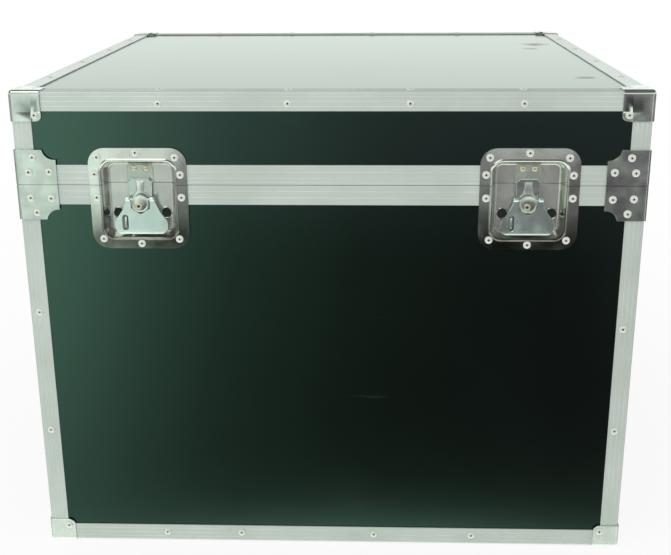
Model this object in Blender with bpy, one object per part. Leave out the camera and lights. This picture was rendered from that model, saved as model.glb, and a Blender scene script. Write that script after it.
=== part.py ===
"""Transport case for a laser projector: a laminated plywood box in aluminium edging.

The case has a deep base and a shallow hinged lid. Two recessed butterfly latches hold the front,
two strap hinges the rear, and each side has a recessed carrying handle. Foam lines the inside.
Metres throughout: +X to the right, -Y the latch side, +Z up, floor at Z = 0.
"""

import math

import bmesh
import bpy
from mathutils import Matrix, Vector

# Whole case, over the steel corner brackets
CASE_WIDTH = 0.670
CASE_DEPTH = 0.650
CASE_HEIGHT = 0.534
LID_HEIGHT = 0.1005

# Sheet, panel and foam thicknesses, and the gap left between neighbouring pieces
STEEL = 0.0012
EXTRUSION_WALL = 0.0012
PANEL = 0.007
FOAM_WALL = 0.025
FOAM_FLOOR = 0.030
CLEARANCE = 0.0003
SEAM_GAP = 0.00025

# Edging: visible leg of the angle, and the closure profile on each side of the seam
EDGE_LEG = 0.022
EDGE_RADIUS = 0.0025
RIM_BAND = 0.0215
BASE_RIM_WEB = 0.003
TONGUE_SET_BACK = 0.0052
TONGUE_WIDTH = 0.0024
TONGUE_HEIGHT = 0.004
GROOVE_SIDE_ROOM = 0.0012
GROOVE_END_ROOM = 0.00125
LID_RIM_CROWN = 0.002

# Steel corner brackets and the braces that wrap the upright edges at the seam
BOTTOM_BRACKET_REACH = 0.0305
BOTTOM_BRACKET_HEIGHT = 0.0285
BOTTOM_BRACKET_RIVET = (0.0232, 0.0212)
TOP_BRACKET_REACH = 0.0335
TOP_BRACKET_HEIGHT = 0.033
TOP_BRACKET_RIVET = (0.0262, 0.0260)
BRACKET_EDGE_RADIUS = 0.004
BRACKET_LOBE_RADIUS = 0.0075
BRACE_REACH = 0.045
BRACE_HEIGHT = 0.038
BRACE_EDGE_RADIUS = 0.003
BRACE_SCOOP_RADIUS = 0.0135
BRACE_SCOOP_HEIGHT = 0.0405
BRACE_RIVETS = ((0.0204, 0.030), (0.0370, 0.0145), (0.0150, 0.0140))

# Rivet heads
RIVET_RADIUS = 0.0040
RIVET_CROWN = 0.0028
RIVET_HEIGHT = 0.0014
RIVET_ROOT = 0.0004
RIVET_SIDES = 8

# Facets round each kind of bore and rod, steps in each round corner, and how full a slot's round ends are
BORE_SIDES = 16
BARREL_SIDES = 20
SCOOP_SIDES = 24
PIN_SIDES = 12
CORNER_STEPS = 5
SLOT_STEPS = 4
EDGE_STEPS = 3
SLOT_FULLNESS = 0.98

# Recessed latch, measured from its centre on the seam; the pair sits a little to the right
LATCH_INSET = 0.128
LATCH_SHIFT = 0.0035
LATCH_FLANGE_WIDTH = 0.105
LATCH_FLANGE_TOP = 0.040
LATCH_FLANGE_BOTTOM = 0.070
LATCH_FLANGE_RADIUS = 0.018
LATCH_OPENING_WIDTH = 0.077
LATCH_OPENING_TOP = 0.0262
LATCH_OPENING_BOTTOM = 0.0588
LATCH_OPENING_RADIUS = 0.009
LATCH_RECESS = 0.014
LATCH_LIP_PROUD = 0.0008
LATCH_UPPER_RIVETS = ((-0.0404, 0.0290), (0.0, 0.0342), (0.0404, 0.0290), (-0.0452, 0.0105), (0.0452, 0.0105))
LATCH_LOWER_RIVETS = ((-0.0452, -0.0140), (0.0452, -0.0140), (-0.0405, -0.0600), (0.0, -0.0645), (0.0405, -0.0600))
LATCH_DRAIN_OFFSET = 0.025
LATCH_DRAIN_DROP = 0.031
LATCH_DRAIN_RADIUS = 0.0055

# Latch mechanism: depths are measured back from the front of the flange
HUB_DROP = 0.0205
HUB_RADIUS = 0.0096
HUB_FRONT = 0.0015
HUB_BACK = 0.0052
SHAFT_RADIUS = 0.004
FOLD_AXIS_RISE = 0.0046
FOLD_AXIS_DEPTH = 0.0030
FOLD_PIN_RADIUS = 0.0009
FOLD_PIN_REACH = 0.0150
KNUCKLE_RADIUS = 0.0022
KNUCKLE_START = 0.0106
KNUCKLE_END = 0.0156
HANDLE_PLATE_FRONT = 0.0032
HANDLE_PLATE = 0.0018
HANDLE_SLOT_OFFSET = 0.0170
HANDLE_SLOT_DROP = 0.0195
HANDLE_SLOT_LENGTH = 0.0165
HANDLE_SLOT_WIDTH = 0.0046
HOOK_WIDTH = 0.0248
HOOK_TOP = 0.0050
HOOK_TAIL = 0.0165
HOOK_FRONT = 0.0083
HOOK_PLATE = 0.0015
HOOK_CLAW_DEPTH = 0.0123
HOOK_TRAVEL = 0.0056
HOOK_LEAN = math.radians(30)
KEEPER_WIDTH = 0.028
KEEPER_TOP = 0.0198
KEEPER_PLATE = 0.0009
KEEPER_SHELF_FRONT = 0.0101
KEEPER_SHELF_BOTTOM = 0.0005
KEEPER_SHELF_TOP = 0.0020
KEEPER_RIVETS = ((-0.0063, 0.0160), (0.0063, 0.0160))
KEEPER_RIVET_RADIUS = 0.0032
LUG_BACK_GAP = 0.0006
LUG_LENGTH = 0.012
LUG_THICKNESS = 0.0016

# Rear hinges
HINGE_INSET = 0.135
HINGE_WIDTH = 0.060
HINGE_LEAF_HEIGHT = 0.038
HINGE_LEAF = 0.002
HINGE_BARREL_RADIUS = 0.004
HINGE_PIN_RADIUS = 0.002
HINGE_MIDDLE_KNUCKLE = 0.0204
HINGE_ROOT_HEIGHT = 0.003

# Recessed side handles
SIDE_HANDLE_HEIGHT = 0.260
SIDE_FLANGE_LENGTH = 0.166
SIDE_FLANGE_HEIGHT = 0.106
SIDE_FLANGE_RADIUS = 0.014
SIDE_OPENING_LENGTH = 0.140
SIDE_OPENING_HEIGHT = 0.080
SIDE_OPENING_RADIUS = 0.010
SIDE_RECESS = 0.020
SIDE_WALL = 0.0012
SIDE_LIP_PROUD = 0.0008
SIDE_RIVETS = ((-0.0745, -0.0445), (0.0, -0.0470), (0.0745, -0.0445),
               (-0.0745, 0.0445), (0.0, 0.0470), (0.0745, 0.0445))
BAIL_RADIUS = 0.004
BAIL_ARM_OFFSET = 0.055
BAIL_PIVOT_RISE = 0.026
BAIL_GRIP_DROP = 0.020
BAIL_DEPTH = 0.010
BAIL_BEND_RADIUS = 0.007
EAR_WIDTH = 0.008
EAR_HEIGHT = 0.012
GRIP_RADIUS = 0.009
GRIP_LENGTH = 0.092

# Places that follow from the size of the case
SEAM_HEIGHT = CASE_HEIGHT - LID_HEIGHT
LATCH_SPACING = CASE_WIDTH - 2 * LATCH_INSET
HINGE_SPACING = CASE_WIDTH - 2 * HINGE_INSET

# Planes that follow from the stack of sheet, edging and panel, measured in from the bracket faces
EXTRUSION_INSET = STEEL + CLEARANCE
EXTRUSION_INNER = EXTRUSION_INSET + EXTRUSION_WALL
PANEL_INSET = EXTRUSION_INNER + CLEARANCE
PANEL_INNER = PANEL_INSET + PANEL
LINING_INSET = PANEL_INNER + CLEARANCE
RIM_INNER = LINING_INSET + EXTRUSION_WALL
CAVITY_INSET = LINING_INSET + FOAM_WALL
LID_RIM_WEB = TONGUE_HEIGHT + GROOVE_END_ROOM + LID_RIM_CROWN
HUB_HEIGHT = SEAM_HEIGHT - HUB_DROP
BEYOND = 0.010
SLIVER = 0.00002
LATCH_SIDES = {"left": -1, "right": 1}
HINGE_AXIS_OFFSET = HINGE_BARREL_RADIUS + CLEARANCE
TUB_HALF = LATCH_OPENING_WIDTH / 2 + STEEL
TUB_TOP = LATCH_OPENING_TOP + STEEL
TUB_BOTTOM = LATCH_OPENING_BOTTOM + STEEL
TUB_BACK = LATCH_RECESS + STEEL
SIDE_FLANGE_INSET = PANEL_INSET - CLEARANCE - SIDE_WALL
SIDE_TUB_BACK = SIDE_FLANGE_INSET + SIDE_RECESS + SIDE_WALL

# The front rivets and the rear barrels reach past the case, so it sits off centre by half the difference
REAR_REACH = HINGE_AXIS_OFFSET + HINGE_BARREL_RADIUS
CASE_SHIFT = (RIVET_HEIGHT - REAR_REACH) / 2

for stale in list(bpy.data.objects):
    bpy.data.objects.remove(stale, do_unlink=True)

parts = bpy.data.collections.new("laser_transport_case")
cutters = bpy.data.collections.new("cutters")
bpy.context.scene.collection.children.link(parts)
bpy.context.scene.collection.children.link(cutters)

case = bpy.data.objects.new("case", None)
case.location = (0, CASE_SHIFT, 0)
parts.objects.link(case)


# Materials

def finish(name, colour, roughness, metallic):
    """A plain Principled finish in the colour of the real piece."""
    material = bpy.data.materials.new(name)
    material.use_nodes = True
    shader = material.node_tree.nodes["Principled BSDF"]
    shader.inputs["Base Color"].default_value = (*colour, 1)
    shader.inputs["Roughness"].default_value = roughness
    shader.inputs["Metallic"].default_value = metallic
    return material


LAMINATE = ((0.016, 0.022, 0.020), 0.25, 0.0)
ALUMINIUM = ((0.62, 0.66, 0.62), 0.38, 1.0)
ZINC = ((0.66, 0.70, 0.67), 0.24, 1.0)
CHROME = ((0.72, 0.74, 0.72), 0.12, 1.0)
BRASSY = ((0.60, 0.58, 0.42), 0.30, 1.0)
RUBBER = ((0.02, 0.02, 0.02), 0.75, 0.0)
FOAM = ((0.035, 0.037, 0.040), 0.95, 0.0)


# Building blocks

def guide(tool):
    """Keeps a cutter out of the model: hidden from renders and drawn as wire."""
    tool.hide_render = True
    tool.display_type = "WIRE"
    for collection in list(tool.users_collection):
        collection.objects.unlink(tool)
    cutters.objects.link(tool)
    return tool


def place(name, mesh, location=(0, 0, 0)):
    """A new object in the case's own frame."""
    piece = bpy.data.objects.new(name, mesh)
    piece.location = location
    piece.parent = case
    parts.objects.link(piece)
    return piece


def finished(piece, look):
    """Gives a piece its own material and smooth shading, and closes the slivers its cuts left."""
    if piece.modifiers:
        weld = piece.modifiers.new("close_slivers", "WELD")
        weld.merge_threshold = SLIVER
    piece.data.materials.clear()
    piece.data.materials.append(finish(piece.name, *look))
    piece.data.shade_smooth()
    piece.data.set_sharp_from_angle(angle=math.radians(35))
    return piece


def box(name, low, high, location=(0, 0, 0)):
    """A rectangular block between two corners."""
    low, high = Vector(low), Vector(high)
    mesh = bpy.data.meshes.new(name)
    shape = bmesh.new()
    bmesh.ops.create_cube(shape, size=1)
    bmesh.ops.scale(shape, vec=high - low, verts=shape.verts)
    bmesh.ops.translate(shape, vec=(low + high) / 2, verts=shape.verts)
    shape.to_mesh(mesh)
    shape.free()
    return place(name, mesh, location)


def rod(name, start, end, radius, sides, end_radius=None, location=(0, 0, 0)):
    """A round bar or a cone between two points."""
    start, end = Vector(start), Vector(end)
    along = end - start
    turn = Vector((0, 0, 1)).rotation_difference(along).to_matrix().to_4x4()
    mesh = bpy.data.meshes.new(name)
    shape = bmesh.new()
    bmesh.ops.create_cone(shape, cap_ends=True, segments=sides, radius1=radius,
                          radius2=radius if end_radius is None else end_radius, depth=along.length,
                          matrix=Matrix.Translation((start + end) / 2) @ turn)
    shape.to_mesh(mesh)
    shape.free()
    return place(name, mesh, location)


def mesh_from_curve(name, curve, turn, location):
    """Turns a capped curve into a welded mesh object."""
    source = bpy.data.objects.new(name, curve)
    source.matrix_world = turn
    parts.objects.link(source)
    depsgraph = bpy.context.evaluated_depsgraph_get()
    mesh = bpy.data.meshes.new_from_object(source.evaluated_get(depsgraph))
    mesh.transform(turn)
    shape = bmesh.new()
    shape.from_mesh(mesh)
    bmesh.ops.remove_doubles(shape, verts=shape.verts, dist=0.00001)
    bmesh.ops.dissolve_limit(shape, angle_limit=math.radians(0.5), verts=shape.verts, edges=shape.edges)
    bmesh.ops.recalc_face_normals(shape, faces=shape.faces)
    shape.to_mesh(mesh)
    shape.free()
    bpy.data.objects.remove(source, do_unlink=True)
    return place(name, mesh, location)


def sheet(name, outline, front, back, facing="Y", location=(0, 0, 0)):
    """A flat outline given thickness along X or Y; its points are (x or y, z)."""
    curve = bpy.data.curves.new(name, "CURVE")
    curve.dimensions = "2D"
    curve.fill_mode = "BOTH"
    curve.extrude = abs(back - front) / 2
    spline = curve.splines.new("POLY")
    spline.points.add(len(outline) - 1)
    for point, (across, up) in zip(spline.points, outline):
        point.co = (across, up, 0, 1)
    spline.use_cyclic_u = True
    middle = (front + back) / 2
    if facing == "Y":
        turn = Matrix(((1, 0, 0, 0), (0, 0, -1, middle), (0, 1, 0, 0), (0, 0, 0, 1)))
    else:
        turn = Matrix(((0, 0, 1, middle), (1, 0, 0, 0), (0, 1, 0, 0), (0, 0, 0, 1)))
    return mesh_from_curve(name, curve, turn, location)


def rounded(low, high, radius, steps=CORNER_STEPS):
    """The outline of a rectangle with round corners."""
    centres = ((high[0] - radius, high[1] - radius, 0), (low[0] + radius, high[1] - radius, 1),
               (low[0] + radius, low[1] + radius, 2), (high[0] - radius, low[1] + radius, 3))
    outline = []
    for across, up, quarter in centres:
        for step in range(steps + 1):
            angle = math.pi / 2 * (quarter + step / steps)
            outline.append((across + radius * math.cos(angle), up + radius * math.sin(angle)))
    return outline


def boolean(piece, tool, operation):
    """Cuts, joins or keeps what is shared, with the tool kept as a guide."""
    step = piece.modifiers.new(tool.name, "BOOLEAN")
    step.operation = operation
    step.object = guide(tool)
    return piece


def cut(piece, *tools):
    for tool in tools:
        boolean(piece, tool, "DIFFERENCE")
    return piece


def fuse(piece, *tools):
    for tool in tools:
        boolean(piece, tool, "UNION")
    return piece


def round_edges(piece, width, segments, chosen):
    """Rounds the edges whose middle and direction the given rule picks."""
    shape = bmesh.new()
    shape.from_mesh(piece.data)
    edges = [edge for edge in shape.edges
             if chosen((edge.verts[0].co + edge.verts[1].co) / 2,
                       (edge.verts[1].co - edge.verts[0].co).normalized())]
    bmesh.ops.bevel(shape, geom=edges, offset=width, offset_type="OFFSET", segments=segments,
                    profile=0.5, affect="EDGES")
    shape.to_mesh(piece.data)
    shape.free()
    return piece


def same(first, second):
    return abs(first - second) < CLEARANCE / 3


def case_block(name, inset, low, high):
    """A block as large as the case, less an inset on all four sides."""
    half = (CASE_WIDTH / 2 - inset, CASE_DEPTH / 2 - inset)
    return box(name, (-half[0], -half[1], low), (half[0], half[1], high))


def case_ring(name, outer, inner, low, high, corner=0.0):
    """A rectangular ring round the case, between two insets and two heights."""
    ring = case_block(name, outer, low, high)
    if corner:
        round_edges(ring, corner, EDGE_STEPS, lambda middle, way: abs(way.z) > 0.9)
    return cut(ring, case_block(name + "_middle", inner, low - BEYOND, high + BEYOND))


def corner_block(name, side, end, near, far, low, high, rise=0.0):
    """A block at one upright edge of the case, from one inset to another."""
    across = sorted((side * (CASE_WIDTH / 2 - near), side * (CASE_WIDTH / 2 - far)))
    along = sorted((end * (CASE_DEPTH / 2 - near), end * (CASE_DEPTH / 2 - far)))
    return box(name, (across[0], along[0], low), (across[1], along[1], high), (0, 0, rise))


def rivet(name, base, outward, radius=RIVET_RADIUS, location=(0, 0, 0)):
    """A domed rivet head standing on a face."""
    base, outward = Vector(base), Vector(outward)
    return rod(name, base - outward * RIVET_ROOT, base + outward * RIVET_HEIGHT, radius, RIVET_SIDES,
               radius * RIVET_CROWN / RIVET_RADIUS, location)


# Laminated plywood panels

def panel(name, low, high, *openings):
    board = box(name, low, high)
    for number, (open_low, open_high) in enumerate(openings):
        cut(board, box(f"{name}_opening_{number}", open_low, open_high))
    return finished(board, LAMINATE)


def wall_panels(prefix, low, high, front_openings, side_openings):
    """Four walls: the side panels run the whole depth and hold the front and rear between them."""
    end_half = CASE_WIDTH / 2 - PANEL_INNER - CLEARANCE
    side_half = CASE_DEPTH / 2 - PANEL_INSET
    y_out, y_in = CASE_DEPTH / 2 - PANEL_INSET, CASE_DEPTH / 2 - PANEL_INNER
    x_out, x_in = CASE_WIDTH / 2 - PANEL_INSET, CASE_WIDTH / 2 - PANEL_INNER
    panel(prefix + "_front_panel", (-end_half, -y_out, low), (end_half, -y_in, high), *front_openings)
    panel(prefix + "_rear_panel", (-end_half, y_in, low), (end_half, y_out, high))
    panel(prefix + "_left_panel", (-x_out, -side_half, low), (-x_in, side_half, high), *side_openings)
    panel(prefix + "_right_panel", (x_in, -side_half, low), (x_out, side_half, high), *side_openings)


def latch_openings(low, high):
    """The notches that the two latch dishes need, between two heights from the seam."""
    openings = []
    for side in LATCH_SIDES.values():
        middle = LATCH_SHIFT + side * LATCH_SPACING / 2
        half = TUB_HALF + CLEARANCE
        openings.append(((middle - half, -CASE_DEPTH / 2 - BEYOND, SEAM_HEIGHT + low),
                         (middle + half, -CASE_DEPTH / 2 + TUB_BACK + CLEARANCE, SEAM_HEIGHT + high)))
    return openings


def side_openings(inset):
    """The hole through both sides for the recessed handles, down to an inset."""
    half_length = SIDE_OPENING_LENGTH / 2 + SIDE_WALL + CLEARANCE
    half_height = SIDE_OPENING_HEIGHT / 2 + SIDE_WALL + CLEARANCE
    openings = []
    for side in (-1, 1):
        across = sorted((side * (CASE_WIDTH / 2 + BEYOND), side * (CASE_WIDTH / 2 - inset)))
        openings.append(((across[0], -half_length, SIDE_HANDLE_HEIGHT - half_height),
                         (across[1], half_length, SIDE_HANDLE_HEIGHT + half_height)))
    return openings


BASE_NOTCHES = latch_openings(-TUB_BOTTOM - CLEARANCE, BEYOND)
LID_NOTCHES = latch_openings(-BEYOND, TUB_TOP + CLEARANCE)
board_half = (CASE_WIDTH / 2 - PANEL_INSET, CASE_DEPTH / 2 - PANEL_INSET)
panel("base_bottom_panel", (-board_half[0], -board_half[1], PANEL_INSET), (*board_half, PANEL_INNER))
panel("lid_top_panel", (-board_half[0], -board_half[1], CASE_HEIGHT - PANEL_INNER),
      (*board_half, CASE_HEIGHT - PANEL_INSET))
base_wall_top = SEAM_HEIGHT - SEAM_GAP - BASE_RIM_WEB - CLEARANCE
lid_wall_bottom = SEAM_HEIGHT + SEAM_GAP + LID_RIM_WEB + CLEARANCE
wall_panels("base", PANEL_INNER + CLEARANCE, base_wall_top, BASE_NOTCHES, side_openings(CAVITY_INSET))
wall_panels("lid", lid_wall_bottom, CASE_HEIGHT - PANEL_INNER - CLEARANCE, LID_NOTCHES, ())


# Aluminium edging

def edging(name, outer, far):
    """Angle round one end of the case and along its upright edges, from its outer height to its far one."""
    inward = 1 if far > outer else -1
    beyond = far + inward * BEYOND
    leg_end = outer + inward * (EDGE_LEG - EXTRUSION_INSET)
    inner_face = outer + inward * EXTRUSION_WALL
    frame = case_block(name, EXTRUSION_INSET, min(outer, far), max(outer, far))
    round_edges(frame, EDGE_RADIUS, EDGE_STEPS, lambda middle, way: abs(way.z) > 0.9 or same(middle.z, outer))
    window = (min(leg_end, beyond), max(leg_end, beyond))
    leg_half = (CASE_WIDTH / 2 - EDGE_LEG, CASE_DEPTH / 2 - EDGE_LEG)
    cut(frame,
        case_block(name + "_hollow", EXTRUSION_INNER, min(inner_face, beyond), max(inner_face, beyond)),
        case_block(name + "_end_window", EDGE_LEG, -BEYOND, CASE_HEIGHT + BEYOND),
        box(name + "_front_window", (-leg_half[0], -CASE_DEPTH, window[0]), (leg_half[0], CASE_DEPTH, window[1])),
        box(name + "_side_window", (-CASE_WIDTH, -leg_half[1], window[0]), (CASE_WIDTH, leg_half[1], window[1])))
    return finished(frame, ALUMINIUM)


edging("base_edge_frame", EXTRUSION_INSET, SEAM_HEIGHT - RIM_BAND - CLEARANCE)
edging("lid_edge_frame", CASE_HEIGHT - EXTRUSION_INSET, SEAM_HEIGHT + RIM_BAND + CLEARANCE)


# Closure profiles: the base carries a tongue and the lid a groove

def base_closure(name):
    low, high = SEAM_HEIGHT - RIM_BAND, SEAM_HEIGHT - SEAM_GAP
    rim = case_ring(name, EXTRUSION_INSET, RIM_INNER, low, high, EDGE_RADIUS)
    slot = case_ring(name + "_slot", EXTRUSION_INNER, LINING_INSET, low - BEYOND, high - BASE_RIM_WEB)
    tongue = case_ring(name + "_tongue", TONGUE_SET_BACK, TONGUE_SET_BACK + TONGUE_WIDTH,
                       high - BASE_RIM_WEB / 2, SEAM_HEIGHT + TONGUE_HEIGHT)
    return fuse(cut(rim, slot), tongue)


def lid_closure(name):
    low, high = SEAM_HEIGHT + SEAM_GAP, SEAM_HEIGHT + RIM_BAND
    rim = case_ring(name, EXTRUSION_INSET, RIM_INNER, low, high, EDGE_RADIUS)
    slot = case_ring(name + "_slot", EXTRUSION_INNER, LINING_INSET, low + LID_RIM_WEB, high + BEYOND)
    groove = case_ring(name + "_groove", TONGUE_SET_BACK - GROOVE_SIDE_ROOM,
                       TONGUE_SET_BACK + TONGUE_WIDTH + GROOVE_SIDE_ROOM, low - BEYOND,
                       SEAM_HEIGHT + TONGUE_HEIGHT + GROOVE_END_ROOM)
    return cut(rim, slot, groove)


def front_run(name, half):
    """The front of the closure profile, a distance to both sides of the middle of the latches."""
    return box(name, (LATCH_SHIFT - half, -CASE_DEPTH, SEAM_HEIGHT - RIM_BAND - BEYOND),
               (LATCH_SHIFT + half, -CASE_DEPTH / 2 + RIM_INNER + CLEARANCE, SEAM_HEIGHT + RIM_BAND + BEYOND))


for rim_name, closure in (("base_rim", base_closure), ("lid_rim", lid_closure)):
    outer_half = LATCH_SPACING / 2 + TUB_HALF + CLEARANCE
    inner_half = LATCH_SPACING / 2 - TUB_HALF - CLEARANCE
    whole_rim = closure(rim_name)
    finished(cut(whole_rim, front_run(rim_name + "_gap", outer_half)), ALUMINIUM)
    middle_rim = closure(rim_name + "_front")
    boolean(middle_rim, front_run(rim_name + "_front_run", inner_half), "INTERSECT")
    finished(middle_rim, ALUMINIUM)


# Steel corner brackets

CORNERS = {"front_left": (-1, -1), "front_right": (1, -1), "rear_left": (-1, 1), "rear_right": (1, 1)}


def corner_rivets(name, side, end, holes):
    """Rivet heads on the two upright faces of a corner piece, at (inset, height) pairs."""
    heads = []
    for number, (inset, height) in enumerate(holes):
        front = (side * (CASE_WIDTH / 2 - inset), end * CASE_DEPTH / 2, height)
        flank = (side * CASE_WIDTH / 2, end * (CASE_DEPTH / 2 - inset), height)
        heads.append(rivet(f"{name}_rivet_{number}", front, (0, end, 0)))
        heads.append(rivet(f"{name}_flank_rivet_{number}", flank, (side, 0, 0)))
    return heads


def bracket(name, side, end, outer, reach, far):
    """A three-sided corner bracket with round lobes, from its outer plane to its far height."""
    x_near, x_far = side * CASE_WIDTH / 2, side * (CASE_WIDTH / 2 - reach)
    y_near, y_far = end * CASE_DEPTH / 2, end * (CASE_DEPTH / 2 - reach)
    shell = corner_block(name, side, end, 0, reach, min(outer, far), max(outer, far))

    def near_edge(middle, way):
        return ((same(middle.x, x_near) and same(middle.y, y_near))
                or (same(middle.x, x_near) and same(middle.z, outer))
                or (same(middle.y, y_near) and same(middle.z, outer)))

    def far_edge(middle, way):
        return ((same(middle.x, x_far) and same(middle.y, y_far))
                or (same(middle.x, x_far) and same(middle.z, far))
                or (same(middle.y, y_far) and same(middle.z, far)))

    round_edges(shell, BRACKET_LOBE_RADIUS, SLOT_STEPS, far_edge)
    round_edges(shell, BRACKET_EDGE_RADIUS, EDGE_STEPS, near_edge)
    inward = STEEL if far > outer else -STEEL
    floor = outer + inward
    beyond = far + (BEYOND if far > outer else -BEYOND)
    hollow = corner_block(name + "_hollow", side, end, STEEL, reach + BEYOND,
                          min(floor, beyond), max(floor, beyond))
    inner_corner = (side * (CASE_WIDTH / 2 - STEEL), end * (CASE_DEPTH / 2 - STEEL))
    round_edges(hollow, BRACKET_EDGE_RADIUS - STEEL, EDGE_STEPS,
                lambda middle, way: (same(middle.x, inner_corner[0]) and same(middle.y, inner_corner[1]))
                or (same(middle.x, inner_corner[0]) and same(middle.z, floor))
                or (same(middle.y, inner_corner[1]) and same(middle.z, floor)))
    return cut(shell, hollow)


for corner_name, (side, end) in CORNERS.items():
    foot_name = "bottom_corner_" + corner_name
    foot = bracket(foot_name, side, end, 0, BOTTOM_BRACKET_REACH, BOTTOM_BRACKET_HEIGHT)
    fuse(foot, *corner_rivets(foot_name, side, end, (BOTTOM_BRACKET_RIVET,)))
    finished(foot, ZINC)
    cap_name = "top_corner_" + corner_name
    cap = bracket(cap_name, side, end, CASE_HEIGHT, TOP_BRACKET_REACH, CASE_HEIGHT - TOP_BRACKET_HEIGHT)
    rivet_inset, rivet_drop = TOP_BRACKET_RIVET
    fuse(cap, *corner_rivets(cap_name, side, end, ((rivet_inset, CASE_HEIGHT - rivet_drop),)))
    finished(cap, ZINC)


def upright_edge(side, end, inset):
    """Picks the upright edge of a corner block at one inset."""
    corner = (side * (CASE_WIDTH / 2 - inset), end * (CASE_DEPTH / 2 - inset))
    return lambda middle, way: abs(way.z) > 0.9 and same(middle.x, corner[0]) and same(middle.y, corner[1])


def brace(name, side, end, up):
    """A plate folded round an upright edge at the seam, scooped at its inner corners."""
    start, stop = SEAM_HEIGHT + up * SEAM_GAP, SEAM_HEIGHT + up * BRACE_HEIGHT
    low, high = min(start, stop), max(start, stop)
    plate = corner_block(name, side, end, 0, BRACE_REACH, low, high)
    round_edges(plate, BRACE_EDGE_RADIUS, EDGE_STEPS, upright_edge(side, end, 0))
    hollow = corner_block(name + "_hollow", side, end, STEEL, BRACE_REACH + BEYOND, low - BEYOND, high + BEYOND)
    round_edges(hollow, BRACE_EDGE_RADIUS - STEEL, EDGE_STEPS, upright_edge(side, end, STEEL))
    scoop_x = side * (CASE_WIDTH / 2 - BRACE_REACH + STEEL)
    scoop_y = end * (CASE_DEPTH / 2 - BRACE_REACH + STEEL)
    scoop_z = SEAM_HEIGHT + up * BRACE_SCOOP_HEIGHT
    face_y, face_x = end * CASE_DEPTH / 2, side * CASE_WIDTH / 2
    cut(plate, hollow,
        rod(name + "_front_scoop", (scoop_x, face_y - BEYOND, scoop_z), (scoop_x, face_y + BEYOND, scoop_z),
            BRACE_SCOOP_RADIUS, SCOOP_SIDES),
        rod(name + "_flank_scoop", (face_x - BEYOND, scoop_y, scoop_z), (face_x + BEYOND, scoop_y, scoop_z),
            BRACE_SCOOP_RADIUS, SCOOP_SIDES))
    holes = [(inset, SEAM_HEIGHT + up * height) for inset, height in BRACE_RIVETS]
    return finished(fuse(plate, *corner_rivets(name, side, end, holes)), ZINC)


for corner_name, (side, end) in CORNERS.items():
    brace("base_brace_" + corner_name, side, end, -1)
    brace("lid_brace_" + corner_name, side, end, 1)


# Recessed latches

def latch_dish(name, place_at):
    """The whole pressed dish: flange, tub with a rolled lip, and the hollow."""
    half = LATCH_FLANGE_WIDTH / 2
    dish = sheet(name, rounded((-half, -LATCH_FLANGE_BOTTOM), (half, LATCH_FLANGE_TOP), LATCH_FLANGE_RADIUS),
                 0, STEEL, location=place_at)
    tub = sheet(name + "_tub", rounded((-TUB_HALF, -TUB_BOTTOM), (TUB_HALF, TUB_TOP),
                                       LATCH_OPENING_RADIUS + STEEL),
                -LATCH_LIP_PROUD, TUB_BACK, location=place_at)
    opening = LATCH_OPENING_WIDTH / 2
    hollow = sheet(name + "_hollow", rounded((-opening, -LATCH_OPENING_BOTTOM), (opening, LATCH_OPENING_TOP),
                                             LATCH_OPENING_RADIUS),
                   -BEYOND, LATCH_RECESS, location=place_at)
    return cut(fuse(dish, tub), hollow)


def half_space(name, low, high, place_at):
    return box(name, (-LATCH_FLANGE_WIDTH, -BEYOND * 2, low), (LATCH_FLANGE_WIDTH, BEYOND * 4, high), place_at)


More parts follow.
